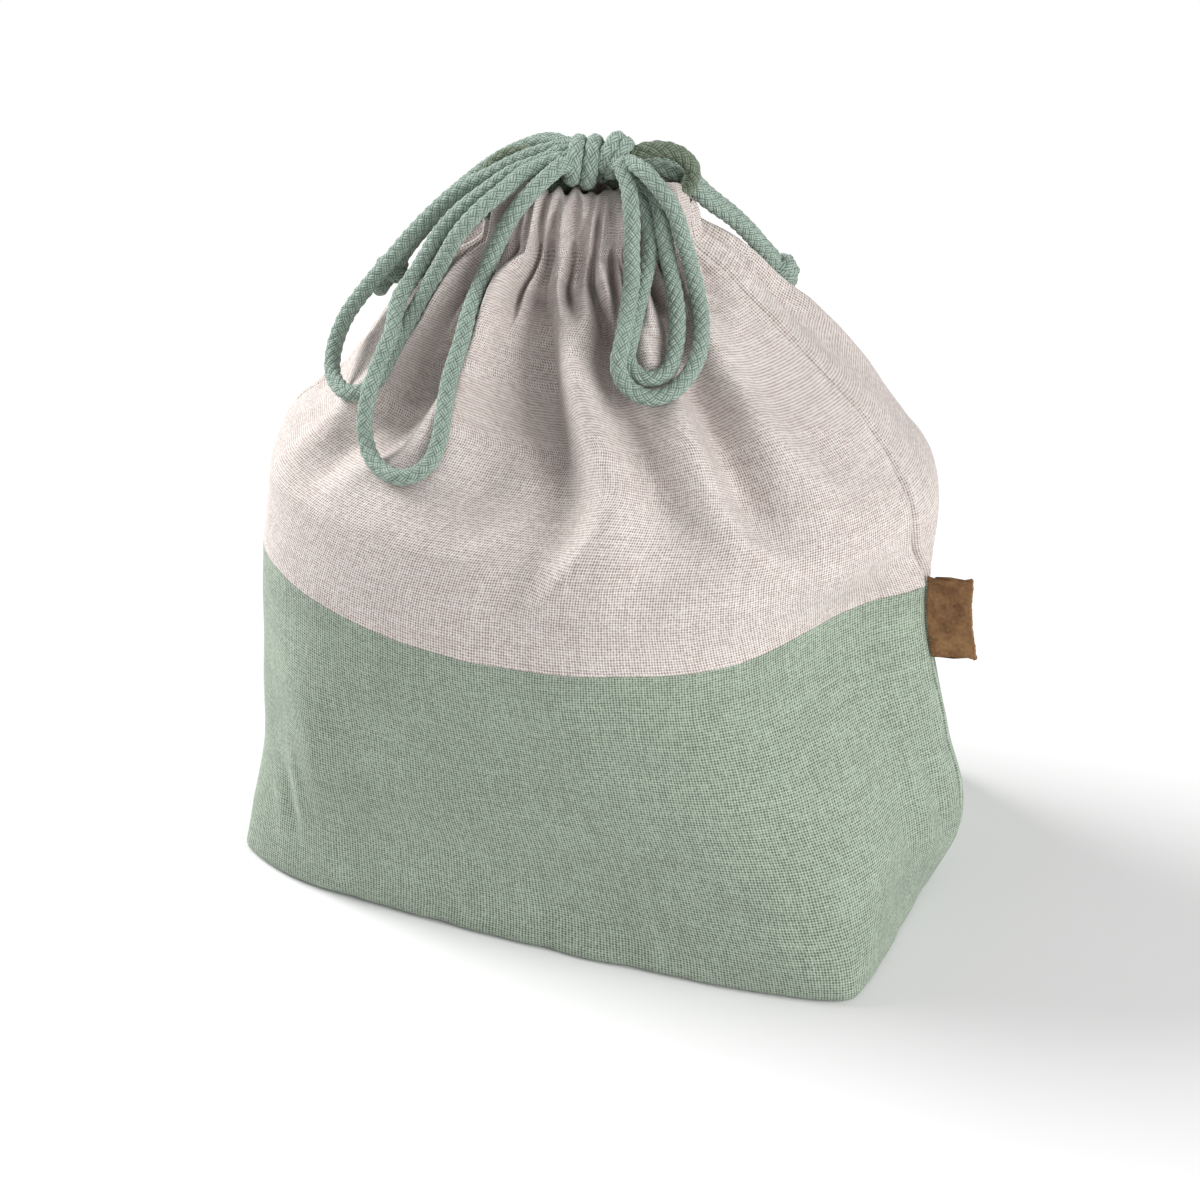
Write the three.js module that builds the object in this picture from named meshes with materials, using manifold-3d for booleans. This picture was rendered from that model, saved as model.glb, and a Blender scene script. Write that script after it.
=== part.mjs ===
// Drawstring lunch bag: a box-bottomed cloth bag in two colours, gathered at the neck by two
// drawcords that run through hem channels and are tied in a bow, with a tag in the side seam.
// Millimetres, +Z up, -Y to the front, origin on the underside at the middle of the base.
import * as THREE from 'three';
import * as BufferGeometryUtils from 'three/addons/utils/BufferGeometryUtils.js';
import Module from 'manifold-3d';

const wasm = await Module();
wasm.setup();

// Cloth and seams
const CLOTH = 1.2;
const PIECE_GAP = 0.35;
const PANEL_SEAM_HEIGHT = 99;

// Base, with a small fold round its edge
const BASE_LEFT = 109;
const BASE_RIGHT = 98;
const BASE_FRONT = 68;
const BASE_BACK = 66;
const BASE_FOLD_HEIGHT = 3;
const BASE_FOLD_INSET = 1.5;

// Shoulder, the widest place above the colour seam
const SHOULDER_HEIGHT = 126;
const SHOULDER_LEFT = 103;
const SHOULDER_RIGHT = 92;
const SHOULDER_HALF_DEPTH = 70;

// Neck and rim, off the middle and turned by the pull of the cords
const RIM_HEIGHT = 215;
const RIM_HALF_WIDTH = 29.5;
const RIM_HALF_DEPTH = 13.5;
const NECK_X = -9;
const NECK_Y = 6;
const NECK_TURN = 18;

// Hem channels round the rim, open at both sides where the cords come out
const CHANNEL_HEIGHT = 14.5;
const CHANNEL_CLEARANCE = 0.6;
const CHANNEL_WALL = 1;
const CHANNEL_SIDE_OPENING = 15;
const CORD_PAST_CHANNEL = 1;
const CHANNEL_GATHER_DEPTH = 1.2;
const GATHERS_EACH_SIDE = 11;
const GATHER_DEPTH = 2.4;
const GATHER_START = 128;

// Drawcords, and the two lanes in which they lie in the channels
const CORD = 4.6;
const UPPER_LANE_BELOW_RIM = 4.2;
const LOWER_LANE_BELOW_RIM = 10.8;

// Bow knot, in front of the middle of the rim
const KNOT_FORWARD = 4;
const KNOT_ABOVE_RIM = 9;
const KNOT_CORE_RADIUS = 6.1;
const KNOT_CORE_PAST = 0.7;
const KNOT_WRAP_RADIUS = 6;
const KNOT_WRAP_PLACES = [-4, 0.2];
const KNOT_TWIST_PLACE = 6;
const KNOT_TWIST_RADIUS = 5;
const KNOT_TWIST_BACK = 1.4;
const KNOT_TWIST_TILT = 20;

// Overhand knots in the paired tails
const END_KNOT_LENGTH = 9;
const END_KNOT_CORE_RADIUS = 3.3;
const END_KNOT_TURN_RADIUS = 2.3;
const END_KNOT_TURN_TILT = 20;

// Tag in the right side seam, just under the colour seam
const TAG_HEIGHT = 24;
const TAG_REACH = 12.5;
const TAG_THICKNESS = 1.6;
const TAG_BELOW_SEAM = 0.6;
const TAG_GAP = 0.4;

// How finely things are divided
const STEPS_PER_GATHER = 4;
const STEPS_EACH_SIDE = GATHERS_EACH_SIDE * STEPS_PER_GATHER;
const BASE_STEPS_EACH_SIDE = 34;
const UPPER_ROWS = 9;
const SECTION_SAMPLES = 240;
const CORD_SIDES = 8;
const CORD_STEP = 10;
const CHANNEL_CORD_STEP = 3;
const CHANNEL_CORD_STOPS = 24;
const KNOT_SIDES = 20;
const KNOT_CORE_SIDES = 13;
const TAG_EDGE_STEPS = 5;

// Sections of the filled bag from the base to the rim: half widths to the left and right, half
// depths to the front and back, how square the corners are, how far the side seams stand out,
// the middle, the turn and the right seam's place round the section, in degrees.
const SECTIONS = [
  {
    z: 0, left: BASE_LEFT, right: BASE_RIGHT, front: BASE_FRONT, back: BASE_BACK,
    squareFL: 5, squareFR: 14, squareB: 8, fin: 3, x: 0, y: 0, turn: 0, seam: 0,
  },
  {
    z: 0.23 * PANEL_SEAM_HEIGHT,
    left: BASE_LEFT - 4, right: BASE_RIGHT, front: BASE_FRONT + 2, back: BASE_BACK,
    squareFL: 4.6, squareFR: 5, squareB: 5, fin: 11, x: 0, y: 0, turn: 0, seam: 0,
  },
  {
    z: 0.555 * PANEL_SEAM_HEIGHT,
    left: BASE_LEFT - 7, right: BASE_RIGHT - 6, front: BASE_FRONT + 4, back: BASE_BACK,
    squareFL: 4.2, squareFR: 2.6, squareB: 4, fin: 14, x: 0, y: 0, turn: 0, seam: 0,
  },
  {
    z: PANEL_SEAM_HEIGHT,
    left: BASE_LEFT - 5, right: BASE_RIGHT - 21, front: BASE_FRONT + 4, back: BASE_BACK,
    squareFL: 3.6, squareFR: 1.9, squareB: 3, fin: 17, x: 0, y: 4, turn: 0, seam: 0,
  },
  {
    z: SHOULDER_HEIGHT,
    left: SHOULDER_LEFT, right: SHOULDER_RIGHT, front: SHOULDER_HALF_DEPTH, back: SHOULDER_HALF_DEPTH,
    squareFL: 2.8, squareFR: 1.9, squareB: 2.6, fin: 3, x: -1, y: 5, turn: 4, seam: -6,
  },
  {
    z: RIM_HEIGHT - 66, left: 87, right: 87, front: 56, back: 60,
    squareFL: 2.3, squareFR: 1.9, squareB: 2.2, fin: 0, x: NECK_X + 6, y: NECK_Y, turn: 8, seam: -11,
  },
  {
    z: RIM_HEIGHT - 41, left: 64, right: 70, front: 35, back: 40,
    squareFL: 2, squareFR: 1.8, squareB: 2, fin: 0, x: NECK_X + 3, y: NECK_Y, turn: 13, seam: -12,
  },
  {
    z: RIM_HEIGHT - 17,
    left: RIM_HALF_WIDTH + 3, right: RIM_HALF_WIDTH + 2.5,
    front: RIM_HALF_DEPTH + 1.5, back: RIM_HALF_DEPTH + 2.5,
    squareFL: 2.4, squareFR: 2.4, squareB: 2.4, fin: 0, x: NECK_X, y: NECK_Y, turn: NECK_TURN - 1, seam: -6,
  },
  {
    z: RIM_HEIGHT,
    left: RIM_HALF_WIDTH, right: RIM_HALF_WIDTH, front: RIM_HALF_DEPTH, back: RIM_HALF_DEPTH,
    squareFL: 2.4, squareFR: 2.4, squareB: 2.4, fin: 0, x: NECK_X, y: NECK_Y, turn: NECK_TURN, seam: 0,
  },
];
const FIN_SPREAD = THREE.MathUtils.degToRad(10);
const LEFT_FIN_SHARE = 0.5;

// Drawcord routes from the middle of the rim, chosen by hand where the photographed cords lie.
const LOOP_ROUTES = {
  left_loop_front: [
    [-9.2, -4.9, 9], [-13.5, -7.6, 6.8], [-20, -13.5, 5], [-26, -19, 1], [-33, -22, -5],
    [-39, -23, -12.5], [-45.5, -23, -24], [-49.4, -29.3, -31.5], [-48.5, -38.5, -38.5], [-50, -43.5, -44.5],
    [-51, -50, -52], [-51.5, -53, -59.5], [-50.5, -55, -65.5], [-45.5, -59.5, -69.5], [-39, -62.5, -70.5],
    [-33.5, -62, -69.5], [-29, -59.5, -65.5], [-27.5, -55.5, -59.5], [-28, -50.5, -53.5],
    [-28.5, -44, -46.5], [-27.5, -38, -39], [-27, -31.5, -31.5], [-25.5, -25, -24],
    [-21.5, -23, -13], [-16.5, -23, -3], [-11.2, -19.4, 4], [-6.1, -14.4, 9],
  ],
  left_loop_rear: [
    [-10.7, -0.1, 9], [-16, -3, 8.6], [-22.5, -7, 7], [-28.5, -11.5, 4], [-36, -14.5, -1.2],
    [-42, -16.5, -8], [-49.5, -18, -16.5], [-56, -19.5, -25], [-63, -21.5, -34], [-69, -24, -43.5],
    [-71.5, -27.5, -52.5], [-69.5, -33.5, -57.5], [-62, -41.5, -58], [-56, -44, -57.5],
    [-52.5, -43.5, -54.5], [-50.5, -38.5, -48.5], [-48, -33, -41.5], [-44.5, -28, -34],
    [-38.5, -25.5, -22], [-31.5, -27, -9.5], [-25.5, -25.5, -2], [-20, -21.5, 3],
    [-16, -16.5, 6.3], [-11.4, -12, 7.9], [-7.6, -9.6, 9],
  ],
  right_loop_outer: [
    [8, -10.5, 8], [12, -14, 5.5], [15.5, -17.5, 2], [17, -18.5, -3.5], [17, -19, -11],
    [17.5, -20, -19], [18.5, -26.7, -26.2], [19.5, -34.7, -32.7], [19.3, -38.2, -38.7], [22.3, -39.1, -45],
    [28, -37.8, -46.5], [33.5, -34.8, -45.5], [37.5, -29.5, -41.7], [38.8, -24, -37], [37.3, -17, -31.5],
    [34, -11, -25], [31.5, -9.5, -17], [30.5, -15, -4.5], [26.5, -15.5, 2], [21.5, -14.8, 6.5],
    [16.5, -13.5, 7.5], [13.2, -8.6, 8],
  ],
  right_loop_inner: [
    [19.2, -6.8, 8], [19.6, -10, 3], [20.5, -11.5, -3], [21, -11.8, -10.5], [20, -12.5, -18.5],
    [19.5, -18.8, -25.7], [20, -26.8, -32.2], [21, -32.3, -37.2], [24.5, -34.4, -40.8],
    [28.5, -33.4, -41.9], [31.7, -29.8, -39.2], [32.2, -24, -35], [30.3, -18, -29],
    [26.5, -11.5, -21], [26, -10.8, -12], [25.7, -11, -3.5], [24, -9, 2.5], [23.5, -5.5, 8],
  ],
};
const TAIL_ROUTES = {
  left_tail_front: [
    [-10.5, 4.5, 12], [-16.5, 4.5, 10], [-22, 3, 8.5], [-27, 1.6, 6.6], [-32.5, -1.5, 1.3],
    [-39.5, -3.5, -6.5], [-46.5, -6, -13.5], [-53, -8.5, -21.5], [-56, -11.5, -27.5],
  ],
  left_tail_rear: [
    [-11.5, 10, 12], [-18, 9.5, 8.5], [-23.5, 8, 6], [-29, 5.5, 2.5], [-34.5, 3.5, -2],
    [-41.5, 1, -9], [-48.5, -1, -16], [-54.5, -4, -23.5], [-57.9, -7, -29.2],
  ],
  right_tail_front: [
    [7.5, 7.5, 9.5], [14.5, 9, 7], [20.5, 12, 4.8], [26.5, 16.8, 0], [32.5, 22.8, -10.5],
    [38, 28, -21], [42, 33, -28], [45.3, 37.2, -33.5],
  ],
  right_tail_rear: [
    [5, 12.5, 9.5], [13, 14.5, 7], [19, 17.5, 4.3], [25, 22, -2.5], [30.5, 28, -13.5],
    [36, 33.3, -22.7], [40.5, 38.5, -29.5], [44, 42.5, -34],
  ],
};
// Leads from the channels' ends to the knot, after their first straight bit.
const LEAD_ROUTES = {
  left_lead_upper: [
    [-27.7, -11.7, -10], [-30.9, -13, -8], [-33.1, -11.7, -4.8], [-33.7, -8, -1.4],
    [-29.9, -5.3, 2.5], [-21.6, -2.1, 3.6], [-15.2, 0.6, 4.2], [-10.4, 3.7, 4],
  ],
  left_lead_lower: [
    [-28.6, -6.6, -9.6], [-30, -7.4, -6.8], [-29, -8.2, -3.6], [-26.7, -8.2, 0],
    [-23.1, -7.9, 1.2], [-18.3, -7, 2.6], [-12.9, -5.7, 3], [-8, -4.1, 2.2],
  ],
  right_lead_upper: [
    [27.9, 6, -2.8], [29.5, 6.2, 0.2], [29.2, 5.9, 3.8], [27.4, 5.4, 7.4],
    [24.4, 5, 11.3], [20.1, 3.6, 13.5], [14.9, 1.9, 12.7], [9.7, 0, 9.8],
  ],
  right_lead_lower: [
    [25.6, 10.6, -2.8], [26.1, 10.4, 0], [24, 8.6, 2.6], [19.1, 6.6, 2.9],
    [14.2, 4.8, 3.7], [9.3, 1.8, 3.6],
  ],
};

// Monotone cubic through the sections' values of one measure.
function measureCurve(key) {
  const heights = SECTIONS.map((section) => section.z);
  const values = SECTIONS.map((section) => section[key]);
  const last = heights.length - 1;
  const secants = values.slice(1).map((value, i) => (value - values[i]) / (heights[i + 1] - heights[i]));
  const slopes = values.map((_, i) => {
    if (i === 0) return secants[0];
    if (i === last) return secants[last - 1];
    const product = secants[i - 1] * secants[i];
    return product > 0 ? (2 * product) / (secants[i - 1] + secants[i]) : 0;
  });
  return (z) => {
    const height = THREE.MathUtils.clamp(z, heights[0], heights[last]);
    let i = 0;
    while (i < last - 1 && height > heights[i + 1]) i += 1;
    const span = heights[i + 1] - heights[i];
    const t = (height - heights[i]) / span;
    const start = (values[i] * (1 + 2 * t) + slopes[i] * span * t) * (1 - t) ** 2;
    const end = (values[i + 1] * (3 - 2 * t) - slopes[i + 1] * span * (1 - t)) * t * t;
    return start + end;
  };
}

const MEASURES = Object.keys(SECTIONS[0]).filter((key) => key !== 'z');
const CURVES = Object.fromEntries(MEASURES.map((key) => [key, measureCurve(key)]));

function sectionAt(z) {
  return Object.fromEntries(MEASURES.map((key) => [key, CURVES[key](z)]));
}

// Radius of a section at an angle: a superellipse in each quarter, with a soft ridge at each seam.
function radiusAt(section, angle) {
  const c = Math.cos(angle);
  const s = Math.sin(angle);
  const halfWidth = c >= 0 ? section.right : section.left;
  const halfDepth = s >= 0 ? section.back : section.front;
  const frontSquare = c >= 0 ? section.squareFR : section.squareFL;
  const square = s < 0 ? frontSquare : section.squareB;
  const sum = Math.abs(c / halfWidth) ** square + Math.abs(s / halfDepth) ** square;
  const turned = Math.atan2(s, c);
  const rightRidge = Math.exp(-((turned / FIN_SPREAD) ** 2));
  const leftRidge = LEFT_FIN_SHARE * Math.exp(-(((Math.abs(turned) - Math.PI) / FIN_SPREAD) ** 2));
  return sum ** (-1 / square) + section.fin * (rightRidge + leftRidge);
}

// Half of a section from seam to seam, by the share of its length: the place on the outside of
// the cloth and the level direction into the bag. The front runs left to right, the back returns.
const halfSections = new Map();
function halfSection(z, half) {
  const key = `${half} ${z}`;
  if (halfSections.has(key)) return halfSections.get(key);
  const section = sectionAt(z);
  const seam = THREE.MathUtils.degToRad(section.seam);
  const [from, to] = half === 'front' ? [-Math.PI, seam] : [seam, Math.PI];
  const points = [];
  const lengths = [0];
  for (let i = 0; i <= SECTION_SAMPLES; i += 1) {
    const angle = THREE.MathUtils.lerp(from, to, i / SECTION_SAMPLES);
    const radius = radiusAt(section, angle);
    points.push(new THREE.Vector2(radius * Math.cos(angle), radius * Math.sin(angle)));
    if (i > 0) lengths.push(lengths[i - 1] + points[i].distanceTo(points[i - 1]));
  }
  const total = lengths[SECTION_SAMPLES];
  const depth = Math.min(section.front, section.back);
  const spineLeft = -Math.max(section.left - depth, 0);
  const spineRight = Math.max(section.right - depth, 0);
  const turn = THREE.MathUtils.degToRad(section.turn);
  const middle = new THREE.Vector2(section.x, section.y);
  const axis = new THREE.Vector2();
  const at = (share) => {
    const length = THREE.MathUtils.clamp(share, 0, 1) * total;
    let i = 0;
    while (i < SECTION_SAMPLES - 1 && lengths[i + 1] < length) i += 1;
    const t = (length - lengths[i]) / (lengths[i + 1] - lengths[i]);
    const place = points[i].clone().lerp(points[i + 1], t);
    const spine = new THREE.Vector2(THREE.MathUtils.clamp(place.x, spineLeft, spineRight), 0);
    const inward = spine.sub(place).normalize().rotateAround(axis, turn);
    return { place: place.rotateAround(axis, turn).add(middle), inward };
  };
  const found = { total, at };
  halfSections.set(key, found);
  return found;
}

// A point of the cloth: height, depth in from the outer face, share of the way from seam to seam.
function clothPoint(z, depth, half, share) {
  const { place, inward } = halfSection(z, half).at(share);
  const spot = place.addScaledVector(inward, depth);
  return new THREE.Vector3(spot.x, spot.y, z);
}

// A closed mesh from its corners and triangles, with its faces turned outwards.
function closedGeometry(corners, triangles) {
  let volume = 0;
  const cross = new THREE.Vector3();
  for (const [a, b, c] of triangles) volume += corners[a].dot(cross.crossVectors(corners[b], corners[c]));
  const outward = volume > 0 ? triangles : triangles.map(([a, b, c]) => [a, c, b]);
  const geometry = new THREE.BufferGeometry().setFromPoints(corners);
  geometry.setIndex(outward.flat());
  return geometry;
}

// A closed wall from stacked rings of equal count, with a fan over the first and the last ring.
function loftRings(rings) {
  const count = rings[0].length;
  const corners = rings.flat();
  const triangles = [];
  for (let r = 0; r < rings.length - 1; r += 1) {
    for (let i = 0; i < count; i += 1) {
      const a = r * count + i;
      const b = r * count + ((i + 1) % count);
      triangles.push([a, b, b + count], [a, b + count, a + count]);
    }
  }
  const ends = [[0, true], [(rings.length - 1) * count, false]];
  for (const [start, flip] of ends) {
    const middle = new THREE.Vector3();
    for (let i = 0; i < count; i += 1) middle.addScaledVector(corners[start + i], 1 / count);
    const hub = corners.push(middle) - 1;
    for (let i = 0; i < count; i += 1) {
      const a = start + i;
      const b = start + ((i + 1) % count);
      triangles.push(flip ? [hub, b, a] : [hub, a, b]);
    }
  }
  return closedGeometry(corners, triangles);
}

// A closed outline of heights and depths, swept along the cloth from near one seam to the other.
// The first points of the outline, as many as there are paired rows, face its last ones.
function sweepOutline(outline, half, pairedRows = 1) {
  const count = outline.length;
  const corners = [];
  for (let i = 0; i <= STEPS_EACH_SIDE; i += 1) {
    for (const { z, depth, fromSeam, gather = 0 } of outline) {
      const margin = fromSeam / halfSection(z, half).total;
      const share = THREE.MathUtils.lerp(margin, 1 - margin, i / STEPS_EACH_SIDE);
      const fold = gather * (0.5 - 0.5 * Math.cos(2 * Math.PI * GATHERS_EACH_SIDE * share));
      corners.push(clothPoint(z, depth + fold, half, share));
    }
  }
  const triangles = [];
  for (let i = 0; i < STEPS_EACH_SIDE; i += 1) {
    for (let k = 0; k < count; k += 1) {
      const a = i * count + k;
      const b = i * count + ((k + 1) % count);
      triangles.push([a, b, b + count], [a, b + count, a + count]);
    }
  }
  const cap = [];
  for (let k = 0; k < pairedRows - 1; k += 1) {
    const facing = count - 1 - k;
    cap.push([k, k + 1, facing - 1], [k, facing - 1, facing]);
  }
  const rest = outline.slice(pairedRows - 1, count - pairedRows + 1);
  const contour = rest.map(({ z, depth }) => new THREE.Vector2(depth, z));
  const turnsRight = THREE.ShapeUtils.isClockWise(contour);
  for (const face of THREE.ShapeUtils.triangulateShape(contour, [])) {
    const faceTurnsRight = THREE.ShapeUtils.isClockWise(face.map((k) => contour[k]));
    const ordered = faceTurnsRight === turnsRight ? face : face.reverse();
    cap.push(ordered.map((k) => k + pairedRows - 1));
  }
  const far = STEPS_EACH_SIDE * count;
  for (const [a, b, c] of cap) triangles.push([a, c, b], [far + a, far + b, far + c]);
  return closedGeometry(corners, triangles);
}

function toSolid(geometry) {
  const bare = geometry.clone();
  bare.deleteAttribute('normal');
  bare.deleteAttribute('uv');
  const merged = BufferGeometryUtils.mergeVertices(bare);
  return new wasm.Manifold(new wasm.Mesh({
    numProp: 3,
    vertProperties: new Float32Array(merged.attributes.position.array),
    triVerts: new Uint32Array(merged.index.array),
  }));
}

function toGeometry(solid) {
  const { vertProperties, triVerts } = solid.getMesh();
  const geometry = new THREE.BufferGeometry();
  geometry.setAttribute('position', new THREE.BufferAttribute(vertProperties, 3));
  geometry.setIndex(new THREE.BufferAttribute(triVerts, 1));
  return geometry;
}

function joined(...geometries) {
  return toGeometry(geometries.map(toSolid).reduce((all, solid) => all.add(solid)));
}

// Lower panel: front, base and back in one cut, with boxed corners and a flat underside.
function lowerPanel() {
  const top = PANEL_SEAM_HEIGHT - PIECE_GAP / 2;
  const rows = [0.12, 0.23, 0.4, 0.56, 0.72, 0.86, 1].map((share) => share * top);
  const walls = [BASE_FOLD_HEIGHT, ...rows];
  const ring = (z, depth) => {
    const points = [];
    for (const half of ['front', 'back']) {
      for (let i = 0; i < BASE_STEPS_EACH_SIDE; i += 1) {
        points.push(clothPoint(z, depth, half, i / BASE_STEPS_EACH_SIDE));
      }
    }
    return points;
  };
  const underside = ring(0, BASE_FOLD_INSET);
  const outside = walls.map((z) => ring(z, 0));
  const inside = walls.map((z) => ring(z, CLOTH)).reverse();
  const floor = ring(CLOTH, CLOTH + BASE_FOLD_INSET);
  return loftRings([underside, ...outside, ...inside, floor]);
}

const CHANNEL_BOTTOM = RIM_HEIGHT - CHANNEL_HEIGHT;
const BORE_OUTER = CHANNEL_GATHER_DEPTH + CHANNEL_WALL;
const BORE_INNER = BORE_OUTER + CORD + 2 * CHANNEL_CLEARANCE;
const CHANNEL_DEPTH = BORE_INNER + CHANNEL_WALL;

// Upper panel, front or back: the gathered shoulder, folded over at the rim into a hem channel.
function upperPanel(half) {
  const bottom = PANEL_SEAM_HEIGHT + PIECE_GAP / 2;
  const shoulderTop = CHANNEL_BOTTOM - 2 * CLOTH;
  const outside = [];
  for (let i = 0; i < UPPER_ROWS; i += 1) {
    const z = THREE.MathUtils.lerp(bottom, shoulderTop, i / (UPPER_ROWS - 1));
    const gather = GATHER_DEPTH * THREE.MathUtils.smoothstep(z, GATHER_START, shoulderTop);
    outside.push({ z, depth: 0, fromSeam: PIECE_GAP / 2, gather });
  }
  const inside = outside.map((row) => ({ ...row, depth: CLOTH })).reverse();
  const hem = { fromSeam: CHANNEL_SIDE_OPENING / 2 };
  const folded = { ...hem, gather: CHANNEL_GATHER_DEPTH };
  const channel = [
    { ...folded, z: CHANNEL_BOTTOM, depth: 0 },
    { ...folded, z: RIM_HEIGHT - CLOTH, depth: 0 },
    { ...folded, z: RIM_HEIGHT, depth: CLOTH },
    { ...hem, z: RIM_HEIGHT, depth: CHANNEL_DEPTH - CLOTH },
    { ...hem, z: RIM_HEIGHT - CLOTH, depth: CHANNEL_DEPTH },
    { ...hem, z: CHANNEL_BOTTOM, depth: CHANNEL_DEPTH },
    { ...hem, z: CHANNEL_BOTTOM - CLOTH, depth: GATHER_DEPTH + 2 * CLOTH },
  ];
  const past = { fromSeam: CHANNEL_SIDE_OPENING / 2 - CLOTH };
  const bore = [
    { ...past, z: CHANNEL_BOTTOM + CLOTH, depth: BORE_OUTER },
    { ...past, z: RIM_HEIGHT - CLOTH, depth: BORE_OUTER },
    { ...past, z: RIM_HEIGHT - CLOTH, depth: BORE_INNER },
    { ...past, z: CHANNEL_BOTTOM + CLOTH, depth: BORE_INNER },
  ];
  const cloth = toSolid(sweepOutline([...outside, ...channel, ...inside], half, UPPER_ROWS));
  return toGeometry(cloth.subtract(toSolid(sweepOutline(bore, half))));
}

// Cord: an octagon drawn along a smooth curve, with round ends where it turns about a knot.
function cordTube(points, { step = CORD_STEP, roundEnds = [] } = {}) {
  const path = new THREE.CatmullRomCurve3(points, false, 'centripetal');
  const outline = [];
  for (let i = 0; i < CORD_SIDES; i += 1) {
    const angle = (2 * Math.PI * (i + 0.5)) / CORD_SIDES;
    outline.push(new THREE.Vector2(Math.cos(angle), Math.sin(angle)).multiplyScalar(CORD / 2));
  }
  const tube = new THREE.ExtrudeGeometry(new THREE.Shape(outline), {
    extrudePath: path,
    steps: Math.round(path.getLength() / step),
    bevelEnabled: false,
  });
  if (roundEnds.length === 0) return tube;
  const balls = roundEnds.map(({ x, y, z }) => {
    const ball = new THREE.SphereGeometry(CORD / 2, CORD_SIDES, CORD_SIDES / 2);
    return ball.translate(x, y, z);
  });
  return joined(tube, ...balls);
}

const RIM_MIDDLE = new THREE.Vector3(NECK_X, NECK_Y, RIM_HEIGHT);
function routePoints(route) {
  return route.map(([x, y, z]) => new THREE.Vector3(x, y, z).add(RIM_MIDDLE));
}

// The run of one drawcord hidden in both channels: its ends come out on one side and it turns
// back on the other. The first end is that of the front channel.
function channelPath(side, belowRim) {
  const z = RIM_HEIGHT - belowRim;
  const depth = (BORE_OUTER + BORE_INNER) / 2;
  const stepsEach = CHANNEL_CORD_STOPS - 1;
  const fromEnd = (half) => {
    const end = (CHANNEL_SIDE_OPENING / 2 - CORD_PAST_CHANNEL) / halfSection(z, half).total;
    const points = [];
    for (let i = 0; i <= stepsEach; i += 1) {
      const share = THREE.MathUtils.lerp(end, 1, i / stepsEach);
      const startsAtZero = (half === 'front') === (side === 'left');
      points.push(clothPoint(z, depth, half, startsAtZero ? share : 1 - share));
    }
    return points;
  };
  return [...fromEnd('front'), ...fromEnd('back').reverse().slice(1)];
}

// A lead goes straight on from the end of its run and then along its route to the knot.
function leadPoints(end, before, route) {
  const ahead = end.clone().sub(before).normalize();
  const start = end.clone().addScaledVector(ahead, PIECE_GAP);
  const straight = start.clone().addScaledVector(ahead, CORD / 4);
  return [start, straight, ...routePoints(route)];
}

// Bow knot: the crossed cords as a short core, two upright wraps round it and a slanting one.
function bowKnot() {
  const [firstWrap] = KNOT_WRAP_PLACES;
  const coreLength = KNOT_TWIST_PLACE - firstWrap + 2 * KNOT_CORE_PAST;
  const core = new THREE.CylinderGeometry(KNOT_CORE_RADIUS, KNOT_CORE_RADIUS, coreLength, KNOT_CORE_SIDES);
  core.rotateZ(Math.PI / 2).translate((firstWrap + KNOT_TWIST_PLACE) / 2, 0, 0);
  const wraps = KNOT_WRAP_PLACES.map((place) => {
    const wrap = new THREE.TorusGeometry(KNOT_WRAP_RADIUS, CORD / 2, CORD_SIDES, KNOT_SIDES);
    return wrap.rotateY(Math.PI / 2).translate(place, 0, 0);
  });
  const twist = new THREE.TorusGeometry(KNOT_TWIST_RADIUS, CORD / 2, CORD_SIDES, KNOT_SIDES);
  twist.rotateY(Math.PI / 2 + THREE.MathUtils.degToRad(KNOT_TWIST_TILT));
  twist.translate(KNOT_TWIST_PLACE, KNOT_TWIST_BACK, 0);
  const turned = [core, ...wraps, twist].map((piece) => piece.rotateZ(THREE.MathUtils.degToRad(NECK_TURN)));
  const height = RIM_HEIGHT + KNOT_ABOVE_RIM;
  return joined(...turned.map((piece) => piece.translate(NECK_X, NECK_Y - KNOT_FORWARD, height)));
}

// End knot: a short core of the two cut ends with one turn of cord round it, past the tails' ends.
function endKnot(frontRoute, rearRoute) {
  const front = routePoints(frontRoute);
  const rear = routePoints(rearRoute);
  const end = front.at(-1).clone().lerp(rear.at(-1), 0.5);
  const along = end.clone().sub(front.at(-2).clone().lerp(rear.at(-2), 0.5)).normalize();
  const across = rear.at(-1).clone().sub(front.at(-1));
  const unevenness = Math.abs(across.dot(along)) / 2;
  across.projectOnPlane(along).normalize();
  const radius = END_KNOT_CORE_RADIUS;
  const core = new THREE.CylinderGeometry(radius, radius, END_KNOT_LENGTH, KNOT_SIDES / 2);
  core.rotateX(Math.PI / 2);
  const turn = new THREE.TorusGeometry(END_KNOT_TURN_RADIUS, CORD / 2, CORD_SIDES, KNOT_SIDES);
  turn.rotateX(THREE.MathUtils.degToRad(END_KNOT_TURN_TILT));
  const centre = end.clone().addScaledVector(along, END_KNOT_LENGTH / 2 + unevenness + 2 * PIECE_GAP);
  const stance = new THREE.Matrix4().makeBasis(across, along.clone().cross(across), along);
  stance.setPosition(centre);
  return joined(core.applyMatrix4(stance), turn.applyMatrix4(stance));
}

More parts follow.
